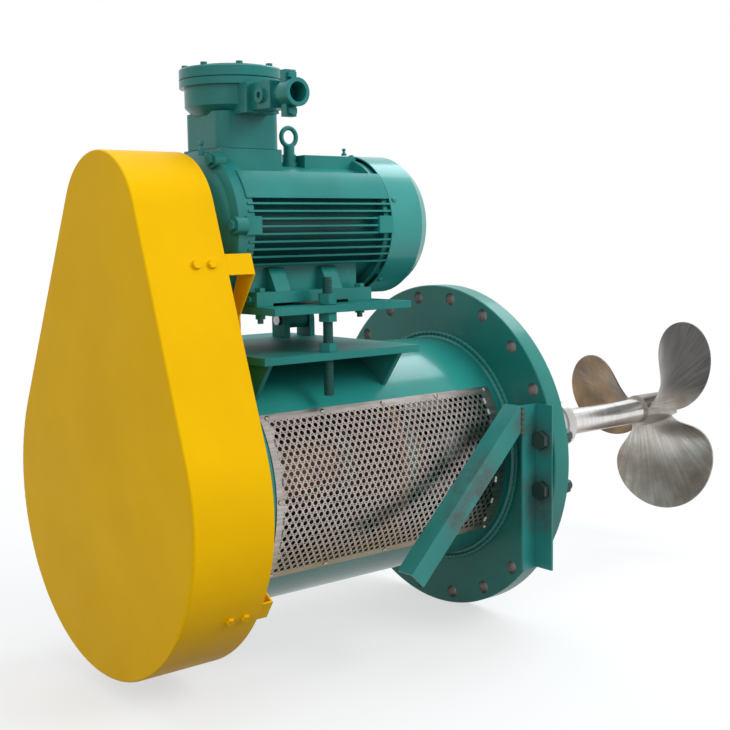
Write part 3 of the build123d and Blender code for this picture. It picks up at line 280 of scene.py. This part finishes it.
def hole_walls(name, finish):
    """Thin drilled walls in the bolt holes that no bolt fills."""
    mesh = bmesh.new()
    sides, x0, x1, radius = 28, flange_low[0] + 0.0004, flange_high[0] - 0.0004, bolt_hole_r - 0.0002
    for i in range(bolt_hole_count):
        angle = math.radians(9 + 18 * i)
        y, z = bolt_circle_r * math.cos(angle), bolt_circle_r * math.sin(angle)
        if y < brace_hole_y and abs(z) < brace_hole_z:
            continue
        rings = [[mesh.verts.new((x, y + radius * math.cos(2 * math.pi * k / sides),
                                  z + radius * math.sin(2 * math.pi * k / sides))) for k in range(sides)]
                 for x in (x0, x1)]
        for k in range(sides):
            mesh.faces.new((rings[0][k], rings[0][k - 1], rings[1][k - 1], rings[1][k]))
    return as_piece(name, mesh, finish)


bright_holes = hole_walls("bolt_hole_walls", drilled)
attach(bright_holes, "stool")


# ---------------------------------------------------------------- stool tube and its end plate
# Rolled steel pipe with a window on each side, welded to the flange. Same enamel, glossier on
# the tube where the sky lies on it, with raw primer inside and a fillet weld at each end.
tube_green = enamel("tube_enamel", srgb(44, 146, 138), srgb(36, 130, 122), 0.2, coat=0.3)
tube_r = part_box("drive_end_plate")[1][2]
inside = tube_green.fade(tube_green.off_shaft(), tube_r - 0.0045, tube_r - 0.0035, 1.0, 0.0)
outside_paint = tube_green.shader.inputs["Base Color"].links[0].from_socket
raw = tube_green.ramp(tube_green.noise(9, 6), (0.35, srgb(74, 50, 34)), (0.7, srgb(128, 92, 58)))
tube_green.colour(tube_green.mix(inside, outside_paint, raw))
paint(tube_green, "stool_tube")
paint(green, "drive_end_plate")


def weld_bead(name, line, radius, finish, closed=False, ripple=0.16):
    """A rippled round bead laid along a line of points; every fourth point is a crest."""
    mesh = bmesh.new()
    sides = 8
    count = len(line)
    rings = []
    for i, point in enumerate(line):
        before = line[i - 1] if closed or i else point
        after = line[(i + 1) % count] if closed or i < count - 1 else point
        ahead = (Vector(after) - Vector(before)).normalized()
        turn = Vector((0, 0, 1)).rotation_difference(ahead).to_matrix()
        size = radius * (1 + ripple * math.cos(math.pi * i / 2))
        corners = [(math.cos(2 * math.pi * k / sides), math.sin(2 * math.pi * k / sides))
                   for k in range(sides)]
        rings.append([mesh.verts.new(Vector(point) + turn @ Vector((size * y, size * z, 0)))
                      for y, z in corners])
    pairs = list(zip(rings, rings[1:])) + ([(rings[-1], rings[0])] if closed else [])
    for first, second in pairs:
        offset = min(range(sides), key=lambda k: (second[k].co - first[0].co).length)
        for k in range(sides):
            mesh.faces.new((first[k], first[(k + 1) % sides], second[(k + 1 + offset) % sides],
                            second[(k + offset) % sides]))
    if not closed:
        mesh.faces.new(rings[0][::-1])
        mesh.faces.new(rings[-1])
    piece = as_piece(name, mesh, finish)
    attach(piece, "stool")
    return piece


def ring_line(x, radius, step=0.0035):
    count = 4 * round(2 * math.pi * radius / step / 4)
    return [(x, radius * math.cos(2 * math.pi * i / count), radius * math.sin(2 * math.pi * i / count))
            for i in range(count)]


weld_bead("tube_to_flange_weld", ring_line(flange_low[0] - 0.001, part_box("stool_tube")[1][2]), 0.006,
          green, True)
weld_bead("tube_to_end_plate_weld", ring_line(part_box("stool_tube")[0][0], tube_r + 0.0005), 0.004,
          green, True)


# ---------------------------------------------------------------- perforated guards
# Punched stainless sheet rolled to the tube's radius, one over each window, with staggered
# round holes, a plain rim and small pan head screws.
steel_mesh = Finish("punched_stainless", 0.32, 1.0)
grain = steel_mesh.noise(40, 5, steel_mesh.stretched(0.6, 5, 5))
sheet_metal = steel_mesh.ramp(grain, (0.3, srgb(158, 150, 145)), (0.7, srgb(196, 188, 184)))
# faces that look down take a brownish yellow tint, partly a tan film and partly painted reflection of the
# brown ground
tan_film_and_ground_reflection = steel_mesh.math("MULTIPLY", steel_mesh.facing_down(0.15, 0.75),
                          steel_mesh.ramp(steel_mesh.noise(7, 5), (0.3, 0.45), (0.7, 0.9)))
steel_mesh.colour(steel_mesh.mix(tan_film_and_ground_reflection, sheet_metal, srgb(128, 108, 58)))
steel_mesh.rough(grain, 0.26, 0.44)
steel_mesh.bump(steel_mesh.noise(300, 2), 0.05, 0.0004)

guard_low, guard_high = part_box("mesh_guard_near")
sheet_r = -guard_low[1]
sheet_t = 0.0018
guard_x0, guard_x1 = guard_low[0], guard_high[0]
guard_half_angle = math.asin(guard_high[2] / sheet_r)
hole_pitch = 0.0153
hole_r = 0.0051
row_to_pitch = 0.866    # staggered rows lie this share of the pitch apart
rim_drive_end = 0.016
rim_flange_end = 0.027
rim_sides = 0.016
hole_sides = 12


def punched_sheet(name, side):
    """Cells with a hole each in a staggered pattern, a plain rim round them, all rolled up."""
    half_arc = guard_half_angle * sheet_r
    inner_x0, inner_x1 = guard_x0 + rim_drive_end, guard_x1 - rim_flange_end
    columns = round((inner_x1 - inner_x0) / hole_pitch)
    step_x = (inner_x1 - inner_x0) / columns
    rows = round((2 * half_arc - 2 * rim_sides) / (hole_pitch * row_to_pitch))
    step_v = (2 * half_arc - 2 * rim_sides) / rows
    mesh = bmesh.new()

    def place(x, v):
        angle = v / sheet_r
        return (x, side * sheet_r * math.cos(angle), sheet_r * math.sin(angle))

    corners = ((-0.5, -0.5), (0.5, -0.5), (0.5, 0.5), (-0.5, 0.5))
    for row in range(rows):
        v = -half_arc + rim_sides + (row + 0.5) * step_v
        shift = 0.5 if row % 2 else 0
        for column in range(columns - (row % 2)):
            x = inner_x0 + (column + 0.5 + shift) * step_x
            ring = [mesh.verts.new(place(x + hole_r * math.cos(a), v + hole_r * math.sin(a)))
                    for a in (2 * math.pi * i / hole_sides for i in range(hole_sides))]
            square = []
            for a in range(hole_sides):
                angle = 2 * math.pi * a / hole_sides
                reach = 0.5 / max(abs(math.cos(angle)), abs(math.sin(angle)))
                square.append(mesh.verts.new(place(x + reach * step_x * math.cos(angle),
                                                   v + reach * step_v * math.sin(angle))))
            for a in range(hole_sides):
                b = (a + 1) % hole_sides
                mesh.faces.new((ring[a], square[a], square[b], ring[b]))
        if row % 2:
            for x0, x1 in ((inner_x0, inner_x0 + step_x / 2), (inner_x1 - step_x / 2, inner_x1)):
                low, high = v - step_v / 2, v + step_v / 2
                mesh.faces.new([mesh.verts.new(place(*p))
                                for p in ((x0, low), (x1, low), (x1, high), (x0, high))])
    rim_steps = 24

    def strip(x0, x1, v0, v1, steps):
        for i in range(steps):
            a, b = v0 + (v1 - v0) * i / steps, v0 + (v1 - v0) * (i + 1) / steps
            mesh.faces.new([mesh.verts.new(place(*p)) for p in ((x0, a), (x1, a), (x1, b), (x0, b))])

    strip(guard_x0, inner_x0, -half_arc, half_arc, rim_steps)
    strip(inner_x1, guard_x1, -half_arc, half_arc, rim_steps)
    strip(inner_x0, inner_x1, -half_arc, -half_arc + rim_sides, 2)
    strip(inner_x0, inner_x1, half_arc - rim_sides, half_arc, 2)
    bmesh.ops.remove_doubles(mesh, verts=mesh.verts, dist=1e-5)
    bmesh.ops.recalc_face_normals(mesh, faces=mesh.faces)
    piece = as_piece(name, mesh, steel_mesh, smooth=False)
    thick = piece.modifiers.new("thickness", "SOLIDIFY")
    thick.thickness = sheet_t
    thick.offset = -1 if (piece.data.polygons[0].normal[1] * side) > 0 else 1
    thick.use_even_offset = True
    return piece


for side, cad_node in ((-1, "mesh_guard_near"), (1, "mesh_guard_far")):
    guard = punched_sheet("punched" + cad_node[4:], side)
    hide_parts(cad_node)
    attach(guard, "stool")


# ---------------------------------------------------------------- guard screws
# Small pan head screws that hold the perforated sheets to the tube, in the same steel: five along
# the top edge, five along the bottom edge and one in the middle of each end.
screw_r = 0.0055
screw_h = 0.003
screw_edge = 0.008    # from the sheet's edge
screw_steps = (0.017, 0.154, 0.314, 0.467, 0.618)    # from the sheet's drive end


def domed_heads(name, places, radius, height, finish, sides=12):
    """Round screw heads; each place is (centre, outward direction)."""
    mesh = bmesh.new()
    for centre, outward in places:
        turn = Vector((0, 0, 1)).rotation_difference(Vector(outward)).to_matrix().to_4x4()
        seat = Matrix.Translation(centre) @ turn
        rings = []
        for level, share in ((0, 1.0), (0.55, 0.93), (0.9, 0.62)):
            rings.append([mesh.verts.new(seat @ Vector((radius * share * math.cos(2 * math.pi * i / sides),
                                                        radius * share * math.sin(2 * math.pi * i / sides),
                                                        height * level))) for i in range(sides)])
        for low, high in zip(rings, rings[1:]):
            for i in range(sides):
                j = (i + 1) % sides
                mesh.faces.new((low[i], low[j], high[j], high[i]))
        mesh.faces.new(rings[-1])
        mesh.faces.new(rings[0][::-1])
    return as_piece(name, mesh, finish)


screw_places = []
for side in (-1, 1):
    spots = [(guard_x0 + screw_edge, 0), (guard_x1 - 0.010, 0)]
    for edge in (-1, 1):
        angle = edge * (guard_half_angle - screw_edge / sheet_r)
        spots += [(guard_x0 + from_end, angle) for from_end in screw_steps]
    for x, angle in spots:
        outward = (0, side * math.cos(angle), math.sin(angle))
        screw_places.append(((x, outward[1] * sheet_r, outward[2] * sheet_r), outward))
screws = domed_heads("guard_sheet_screws", screw_places, screw_r, screw_h, steel_mesh)
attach(screws, "stool")


# ---------------------------------------------------------------- bearing housing and its rings
# Cast iron cartridge behind the perforated guard, rusty at its drive end and thinly sprayed green
# towards the flange. The ring that carries it and its covers are in red oxide primer.
primer = Finish("red_oxide_primer", 0.6)
primer_clouds = primer.ramp(primer.noise(9, 5), (0.35, srgb(132, 78, 44)), (0.65, srgb(176, 118, 66)))
primer.colour(primer.mix(primer.ramp(primer.noise(24, 6), (0.5, 0.0), (0.75, 0.4)), primer_clouds,
                         srgb(110, 126, 90)))
primer.bump(primer.noise(120, 4), 0.25, 0.0008, 0.0015)
overspray = Finish("green_overspray", 0.5)
sprayed = overspray.ramp(overspray.noise(8, 5), (0.35, srgb(128, 162, 138)), (0.7, srgb(164, 190, 168)))
rusted = overspray.ramp(overspray.noise(11, 6), (0.3, srgb(112, 66, 38)), (0.7, srgb(170, 112, 62)))
overspray.colour(overspray.mix(overspray.fade(overspray.along(0), -0.44, -0.36), rusted, sprayed))
overspray.bump(overspray.noise(120, 4), 0.25, 0.0008, 0.0015)
paint(overspray, "bearing_housing")
paint(primer, "bearing_support_ring", "bearing_covers")


# ---------------------------------------------------------------- bearings and plated hardware
# Ground rings and rollers, and the zinc plated screws, pins and lock nut round them.
ground_steel = Finish("ground_bearing_steel", 0.22, 1.0)
ground_steel.colour(ground_steel.ramp(ground_steel.noise(60, 3), (0.3, srgb(188, 190, 192)),
                                      (0.7, srgb(206, 207, 208))))
paint(ground_steel, "bearing_outer_rings", "bearing_inner_rings", "motor_bearing_outer_rings",
      "motor_bearing_inner_rings")
zinc = Finish("zinc_plate", 0.38, 1.0)
zinc.colour(zinc.ramp(zinc.noise(45, 5), (0.3, srgb(150, 150, 150)), (0.7, srgb(186, 186, 184))))
zinc.bump(zinc.noise(150, 3), 0.1, 0.0005, 0.0008)
paint(zinc, "cover_bolts", "hinge_pins", "shaft_locknut")


# ---------------------------------------------------------------- shaft seal
# Machined stainless barrel and gland in the flange's bore, and the stepped collar on the shaft.
satin = Finish("satin_stainless", 0.3, 1.0)
rings = satin.noise(12, 3, satin.stretched(26, 0.6, 0.6))
satin.colour(satin.ramp(rings, (0.3, srgb(186, 184, 181)), (0.7, srgb(214, 212, 209))))
satin.rough(rings, 0.24, 0.34)
satin.bump(rings, 0.015, 0.0003, 0.001)
paint(satin, "seal_housing", "seal_gland", "seal_ring", "shaft_collar")


# ---------------------------------------------------------------- motor platform on the stool
# Two flat plates, a hinge at the far side and webs on the tube, all flame cut and welded, then
# painted in one go with the nuts. The stud's thread shows through its thin coat.
plate_green = enamel("plate_enamel", srgb(42, 134, 128), srgb(34, 116, 110), 0.5, dust=0.25, coat=0.0)
paint(plate_green, "base_plate", "motor_plate", "base_gussets", "hinge_lugs", "hinge_barrels",
      "stud_lock_nuts", "tension_nuts")
thread_green = enamel("threaded_stud", srgb(34, 96, 90), srgb(24, 74, 70), 0.38)
thread_pitch = 0.0035
thread = thread_green.node("ShaderNodeTexWave", wave_type="BANDS", bands_direction="Z")
thread_green.join(thread_green.place, thread.inputs["Vector"])
thread.inputs["Scale"].default_value = math.pi / (10 * thread_pitch)
thread_green.bump(thread.outputs["Fac"], 0.9, 0.0016)
paint(thread_green, "tension_stud")


# ---------------------------------------------------------------- brace on the flange
# Hot rolled angle iron, bolted to two flange holes and welded at the corner. Paint is thin and
# smudged near the welds, and the heavy bolts are dark.
post_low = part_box("brace_post")[0]
strut_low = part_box("brace_strut")[0]
bolt_y, bolt_z = -0.358, 0.0567
scuffs = [((-0.052, bolt_y, bolt_z), 0.062), ((-0.052, bolt_y, -bolt_z), 0.07),
          ((-0.052, -0.35, -0.115), 0.06), ((-0.094, -0.339, 0.095), 0.045),
          ((-0.226, -0.339, 0.004), 0.075), ((-0.262, -0.339, -0.046), 0.07), ((-0.30, -0.339, -0.09), 0.05)]
brace_green = enamel("brace_enamel", srgb(52, 148, 142), srgb(42, 128, 122), 0.28, stains=scuffs)
paint(brace_green, "brace_post", "brace_strut")
dark_bolts = enamel("dark_hexagons", srgb(62, 86, 80), srgb(34, 52, 50), 0.34, soften=0.002,
                    dust=0.5, dust_colour=srgb(92, 84, 74))
paint(dark_bolts, "brace_bolts")
burnt_weld = enamel("burnt_weld", srgb(64, 132, 124), srgb(88, 84, 72), 0.3)
weld_bead("post_to_strut_weld", [(post_low[0] - 0.0005, strut_low[1] - 0.0005, z / 1000)
                                 for z in range(72, 134, 3)], 0.0042, burnt_weld, ripple=0.3)


# ---------------------------------------------------------------- belt guard
# Drop shaped cover of folded and welded sheet in golden yellow enamel, with its back plate and
# the bent strips and screws that carry it.
yellow = enamel("yellow_enamel", srgb(250, 193, 0), srgb(243, 184, 0), 0.42, 0.002, 0.1,
                srgb(212, 158, 4), coat=0.0)
yellow.shader.inputs["Specular IOR Level"].default_value = 0.08
paint(yellow, "belt_guard", "guard_back_plate", "guard_brackets_upper", "guard_brackets_lower",
      "guard_bolts")


# ---------------------------------------------------------------- pulleys
# Grey iron, turned all over and left bare, dark with handling.
iron = Finish("turned_iron", 0.42, 0.9)
turned = iron.noise(26, 4, iron.stretched(24, 2, 2))
iron.colour(iron.ramp(turned, (0.3, srgb(92, 92, 94)), (0.7, srgb(128, 128, 130))))
iron.rough(turned, 0.34, 0.52)
paint(iron, "driven_pulley", "motor_pulley", "taper_bush")


# ---------------------------------------------------------------- V belts
# Four endless belts of fabric faced rubber. They stretch between the stool and the tilting motor; here they
# are one fixed copy of the frame's belts.
rubber = Finish("belt_rubber", 0.7)
rubber.colour(rubber.ramp(rubber.noise(160, 3), (0.3, srgb(24, 24, 25)), (0.7, srgb(44, 43, 42))))
rubber.bump(rubber.noise(900, 2), 0.3, 0.0003)
belts = bpy.data.objects.new("belts", nodes["v_belts"].data.copy())
bpy.context.scene.collection.objects.link(belts)
belts.data.materials.clear()
belts.data.materials.append(rubber.material)
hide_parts("v_belts")
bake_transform(belts)


# ---------------------------------------------------------------- mixer shaft
# Ground steel bar that runs from the pulley through the seal into the tank, with a painted brown reflection
# of the ground on its underside.
bright = Finish("ground_shaft", 0.26, 1.0)
lathe = bright.noise(9, 3, bright.stretched(22, 1, 1))
turned_bright = bright.ramp(lathe, (0.3, srgb(214, 212, 210)), (0.7, srgb(236, 235, 234)))
# painted reflection: faces that look down take the brown of the ground below
bright.colour(bright.mix(bright.math("MULTIPLY", bright.facing_down(0.0, 0.8), 0.75), turned_bright,
                         srgb(132, 108, 88)))
bright.rough(lathe, 0.2, 0.28)
bright.bump(lathe, 0.02, 0.0003, 0.0008)
paint(bright, "mixer_shaft", "motor_shaft")


# ---------------------------------------------------------------- propeller
# Cast stainless marine propeller, ground and polished by hand: patchy brightness, grinding marks across the
# blades, painted shade darkening the upper blade, and on the far blade a mottled bronze-brown painted shade
# with the ground's painted reflection.
cast_bright = Finish("hand_polished_stainless", 0.3, 1.0)
polar = cast_bright.node("ShaderNodeCombineXYZ")
cast_bright.join(cast_bright.math("MULTIPLY", cast_bright.math("ARCTAN2", cast_bright.along(2),
                                                               cast_bright.along(1)), 26.0), polar.inputs[0])
cast_bright.join(cast_bright.math("MULTIPLY", cast_bright.off_shaft(), 9.0), polar.inputs[1])
cast_bright.join(cast_bright.math("MULTIPLY", cast_bright.along(0), 14.0), polar.inputs[2])
marks = cast_bright.noise(1.0, 6, polar.outputs[0], 0.6)
patches = cast_bright.noise(8, 4, roughness=0.55)
tint = cast_bright.ramp(patches, (0.32, srgb(132, 122, 112)), (0.5, srgb(166, 160, 152)),
                        (0.7, srgb(204, 201, 196)))
brushed = cast_bright.mix(cast_bright.ramp(marks, (0.36, 0.0), (0.72, 0.5)), tint, srgb(112, 102, 92))
# painted shade and reflection: the far blade, towards +Y, is mixed with a mottled bronze-brown for its shaded
# back that mirrors the ground
far_blade_shade_and_reflection = cast_bright.ramp(cast_bright.noise(11, 6, roughness=0.6), (0.35, srgb(76, 56, 30)),
                        (0.65, srgb(134, 102, 62)))
far_blade_painted_shade_mask = cast_bright.fade(cast_bright.along(1), 0.03, 0.09)
# painted shade: the upper blade on the near side is mixed towards dark grey
shaded = cast_bright.math("MULTIPLY", cast_bright.fade(cast_bright.along(2), 0.02, 0.09),
                          cast_bright.fade(cast_bright.along(1), -0.03, 0.03, 1.0, 0.0))
upper_blade_painted_shade = cast_bright.ramp(marks, (0.3, srgb(52, 56, 60)), (0.7, srgb(98, 96, 92)))
cast_bright.colour(cast_bright.mix(cast_bright.math("MULTIPLY", far_blade_painted_shade_mask, 0.78),
                                   cast_bright.mix(cast_bright.math("MULTIPLY", shaded, 0.9), brushed, upper_blade_painted_shade),
                                   far_blade_shade_and_reflection))
cast_bright.rough(marks, 0.18, 0.42)
cast_bright.bump(marks, 0.1, 0.0006, 0.0012)
paint(cast_bright, "propeller", "propeller_nut")


# ---------------------------------------------------------------- motor
# Cast iron foot motor: finned frame, end shields, sheet cowl and eye bolt, all in green, with
# grease nipples and cowl screws. The stacked core and the plastic fan are inside.
motor_green = enamel("motor_enamel", srgb(38, 138, 132), srgb(30, 116, 110), 0.27, dust=0.22)
paint(motor_green, "motor_frame", "drive_end_shield", "fan_end_shield", "shield_bolts", "eye_bolt",
      "foot_bolts", "earth_bolt")
cowl_green = enamel("cowl_enamel", srgb(52, 150, 144), srgb(44, 138, 132), 0.22, coat=0.3)
paint(cowl_green, "fan_cowl")


def grease_nipple(name, base, height, radius):
    """Turned fitting: hexagon, waist and ball end, on one upright axis."""
    mesh = bmesh.new()
    profile = ((0.0, 1.5, 6), (0.3, 1.5, 6), (0.32, 0.8, 12), (0.62, 0.65, 12), (0.7, 1.0, 12),
               (0.86, 1.05, 12), (0.97, 0.7, 12), (1.0, 0.25, 12))
    rings = []
    for share, wide, corners in profile:
        ring = []
        for k in range(12):
            angle = 2 * math.pi * k / 12
            reach = radius * wide * (1.0 if corners == 12 or k % 2 == 0 else math.cos(math.pi / 6))
            ring.append(mesh.verts.new((base[0] + reach * math.cos(angle), base[1] + reach * math.sin(angle),
                                        base[2] + share * height)))
        rings.append(ring)
    for low, high in zip(rings, rings[1:]):
        for k in range(12):
            mesh.faces.new((low[k], low[(k + 1) % 12], high[(k + 1) % 12], high[k]))
    mesh.faces.new(rings[0][::-1])
    mesh.faces.new(rings[-1])
    piece = as_piece(name, mesh, motor_green, smooth=False)
    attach(piece, "motor_platform")


frame_low, frame_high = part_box("motor_frame")
shield_low, shield_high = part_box("drive_end_shield")
motor_y = (frame_low[1] + frame_high[1]) / 2
motor_z = (shield_low[2] + shield_high[2]) / 2
grease_nipple("rear_grease_nipple", (frame_high[0] - 0.006, motor_y, frame_high[2] - 0.002), 0.016, 0.0042)
grease_nipple("drive_end_grease_nipple", (-0.747, motor_y - 0.0485, motor_z + 0.139), 0.03, 0.0048)

cowl_low, cowl_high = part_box("fan_cowl")
cowl_r = (cowl_high[1] - cowl_low[1]) / 2
cowl_spots = []
for degrees in (20, 90, 160, 232, 308):
    outward = (0, math.cos(math.radians(degrees)), math.sin(math.radians(degrees)))
    cowl_spots.append(((cowl_low[0] + 0.012, motor_y + (cowl_r - 0.0004) * outward[1],
                        motor_z + (cowl_r - 0.0004) * outward[2]), outward))
cowl_screws = domed_heads("cowl_screws", cowl_spots, 0.0062, 0.0038, motor_green)
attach(cowl_screws, "motor_platform")
core = Finish("stacked_core", 0.55, 0.6)
core.colour(core.ramp(core.noise(20, 2, core.stretched(90, 0.2, 0.2)), (0.4, srgb(70, 72, 76)),
                      (0.6, srgb(112, 112, 116))))
paint(core, "stator_core", "rotor_core")
fan_plastic = Finish("fan_plastic", 0.5)
fan_plastic.colour(fan_plastic.ramp(fan_plastic.noise(80, 3), (0.3, srgb(26, 26, 27)),
                                    (0.7, srgb(38, 38, 39))))
paint(fan_plastic, "cooling_fan")


# ---------------------------------------------------------------- terminal box and cable adapter
# Iron castings with a fine sand texture under the same enamel: box, lid, clamp and bell mouth.
casting_green = enamel("casting_enamel", srgb(36, 134, 130), srgb(28, 112, 108), 0.27, dust=0.22)
casting_green.bump(casting_green.noise(150, 5), 0.22, 0.0006, 0.0025)
paint(casting_green, "terminal_box", "terminal_lid", "lid_bolts", "cable_gland", "gland_mouth", "gland_bolts")


# ---------------------------------------------------------------- floor and backdrop
# Pale studio floor under the flange, white where nothing shades it.
floor_z = cad_box[0][2] - 0.001
bpy.ops.mesh.primitive_plane_add(size=60, location=(0, 0, floor_z))
floor = bpy.context.object
floor.name = "studio_floor"
floor_finish = Finish("studio_floor", 0.9)
rays = floor_finish.node("ShaderNodeLightPath")
seen = floor_finish.math("MAXIMUM", rays.outputs["Is Camera Ray"], rays.outputs["Is Glossy Ray"])
seen = floor_finish.math("MAXIMUM", seen, rays.outputs["Is Transmission Ray"])
floor_finish.colour(floor_finish.mix(seen, (0.36, 0.35, 0.34, 1), (0.86, 0.86, 0.86, 1)))
glow = floor_finish.node("ShaderNodeEmission")
glow.inputs["Strength"].default_value = 1.0
from_middle = floor_finish.node("ShaderNodeVectorMath", operation="LENGTH")
floor_finish.join(floor_finish.place, from_middle.inputs[0])
whitening = floor_finish.fade(from_middle.outputs["Value"], 0.9, 3.6, 0.62, 1.0)
blend_in = floor_finish.node("ShaderNodeMixShader")
floor_finish.join(floor_finish.math("MULTIPLY", seen, whitening), blend_in.inputs[0])
floor_finish.join(floor_finish.shader.outputs[0], blend_in.inputs[1])
floor_finish.join(glow.outputs[0], blend_in.inputs[2])
floor_finish.join(blend_in.outputs[0], floor_finish.tree.nodes["Material Output"].inputs["Surface"])
floor.data.materials.append(floor_finish.material)

world = bpy.data.worlds.new("studio")
bpy.context.scene.world = world
world.use_nodes = True
air = world.node_tree
sky = air.nodes["Background"]
sky.inputs["Color"].default_value = (0.86, 0.94, 1.0, 1)
sky.inputs["Strength"].default_value = 0.55
white = air.nodes.new("ShaderNodeBackground")
white.inputs["Strength"].default_value = 1.0
white.inputs["Color"].default_value = (1, 1, 1, 1)
path = air.nodes.new("ShaderNodeLightPath")
either = air.nodes.new("ShaderNodeMath")
either.operation = "MAXIMUM"
air.links.new(path.outputs["Is Camera Ray"], either.inputs[0])
air.links.new(path.outputs["Is Glossy Ray"], either.inputs[1])
choose = air.nodes.new("ShaderNodeMixShader")
air.links.new(either.outputs[0], choose.inputs[0])
air.links.new(sky.outputs[0], choose.inputs[1])
air.links.new(white.outputs[0], choose.inputs[2])
air.links.new(choose.outputs[0], air.nodes["World Output"].inputs["Surface"])


# ---------------------------------------------------------------- lamps
# Five round soft windows: near side, top, drive end, high over the tank side, and back.
def window(name, place, target, size, power, tint=(1, 1, 1), mirrored=True):
    lamp = bpy.data.lights.new(name, "AREA")
    lamp.shape = "DISK"
    lamp.size = size
    lamp.energy = power
    lamp.color = tint
    piece = bpy.data.objects.new(name, lamp)
    bpy.context.scene.collection.objects.link(piece)
    piece.location = place
    piece.rotation_euler = (Vector(target) - Vector(place)).to_track_quat("-Z", "Y").to_euler()
    piece.visible_glossy = mirrored


window("near_window", (1.5, -3.0, 2.6), (-0.2, 0, 0.1), 2.4, 100, mirrored=False)
window("top_window", (-0.2, 0.4, 3.8), (-0.2, 0, 0.1), 3.0, 34, (0.88, 0.95, 1))
window("drive_end_window", (-3.4, -1.6, 1.6), (-0.2, 0, 0.1), 2.4, 22, (0.94, 0.97, 1), mirrored=False)
window("sky_window", (2.2, 0.5, 2.9), (-0.2, 0, 0.2), 1.8, 34, (0.8, 0.93, 1))
window("back_window", (1.2, 3.4, 2.2), (0, 0, 0.1), 2.6, 46, mirrored=False)


# ---------------------------------------------------------------- camera
# Seen from the near side and the drive end, a little above the shaft.
eye = (-2.0167, -2.1437, 0.520)
yaw, pitch, roll = math.radians(39.241), math.radians(-6.318), math.radians(-0.846)
forward = Vector((math.sin(yaw) * math.cos(pitch), math.cos(yaw) * math.cos(pitch), math.sin(pitch)))
right = Vector((math.cos(yaw), -math.sin(yaw), 0))
up = right.cross(forward)
level = math.cos(roll) * right + math.sin(roll) * up
upright = -math.sin(roll) * right + math.cos(roll) * up
lens = bpy.data.cameras.new("camera")
lens.sensor_width = 36
lens.lens = 59.18
lens.clip_end = 100
camera = bpy.data.objects.new("camera", lens)
bpy.context.scene.collection.objects.link(camera)
camera.matrix_world = Matrix((
    (level.x, upright.x, -forward.x, eye[0]), (level.y, upright.y, -forward.y, eye[1]),
    (level.z, upright.z, -forward.z, eye[2]), (0, 0, 0, 1)))
bpy.context.scene.camera = camera
bpy.context.scene.view_settings.view_transform = "Standard"
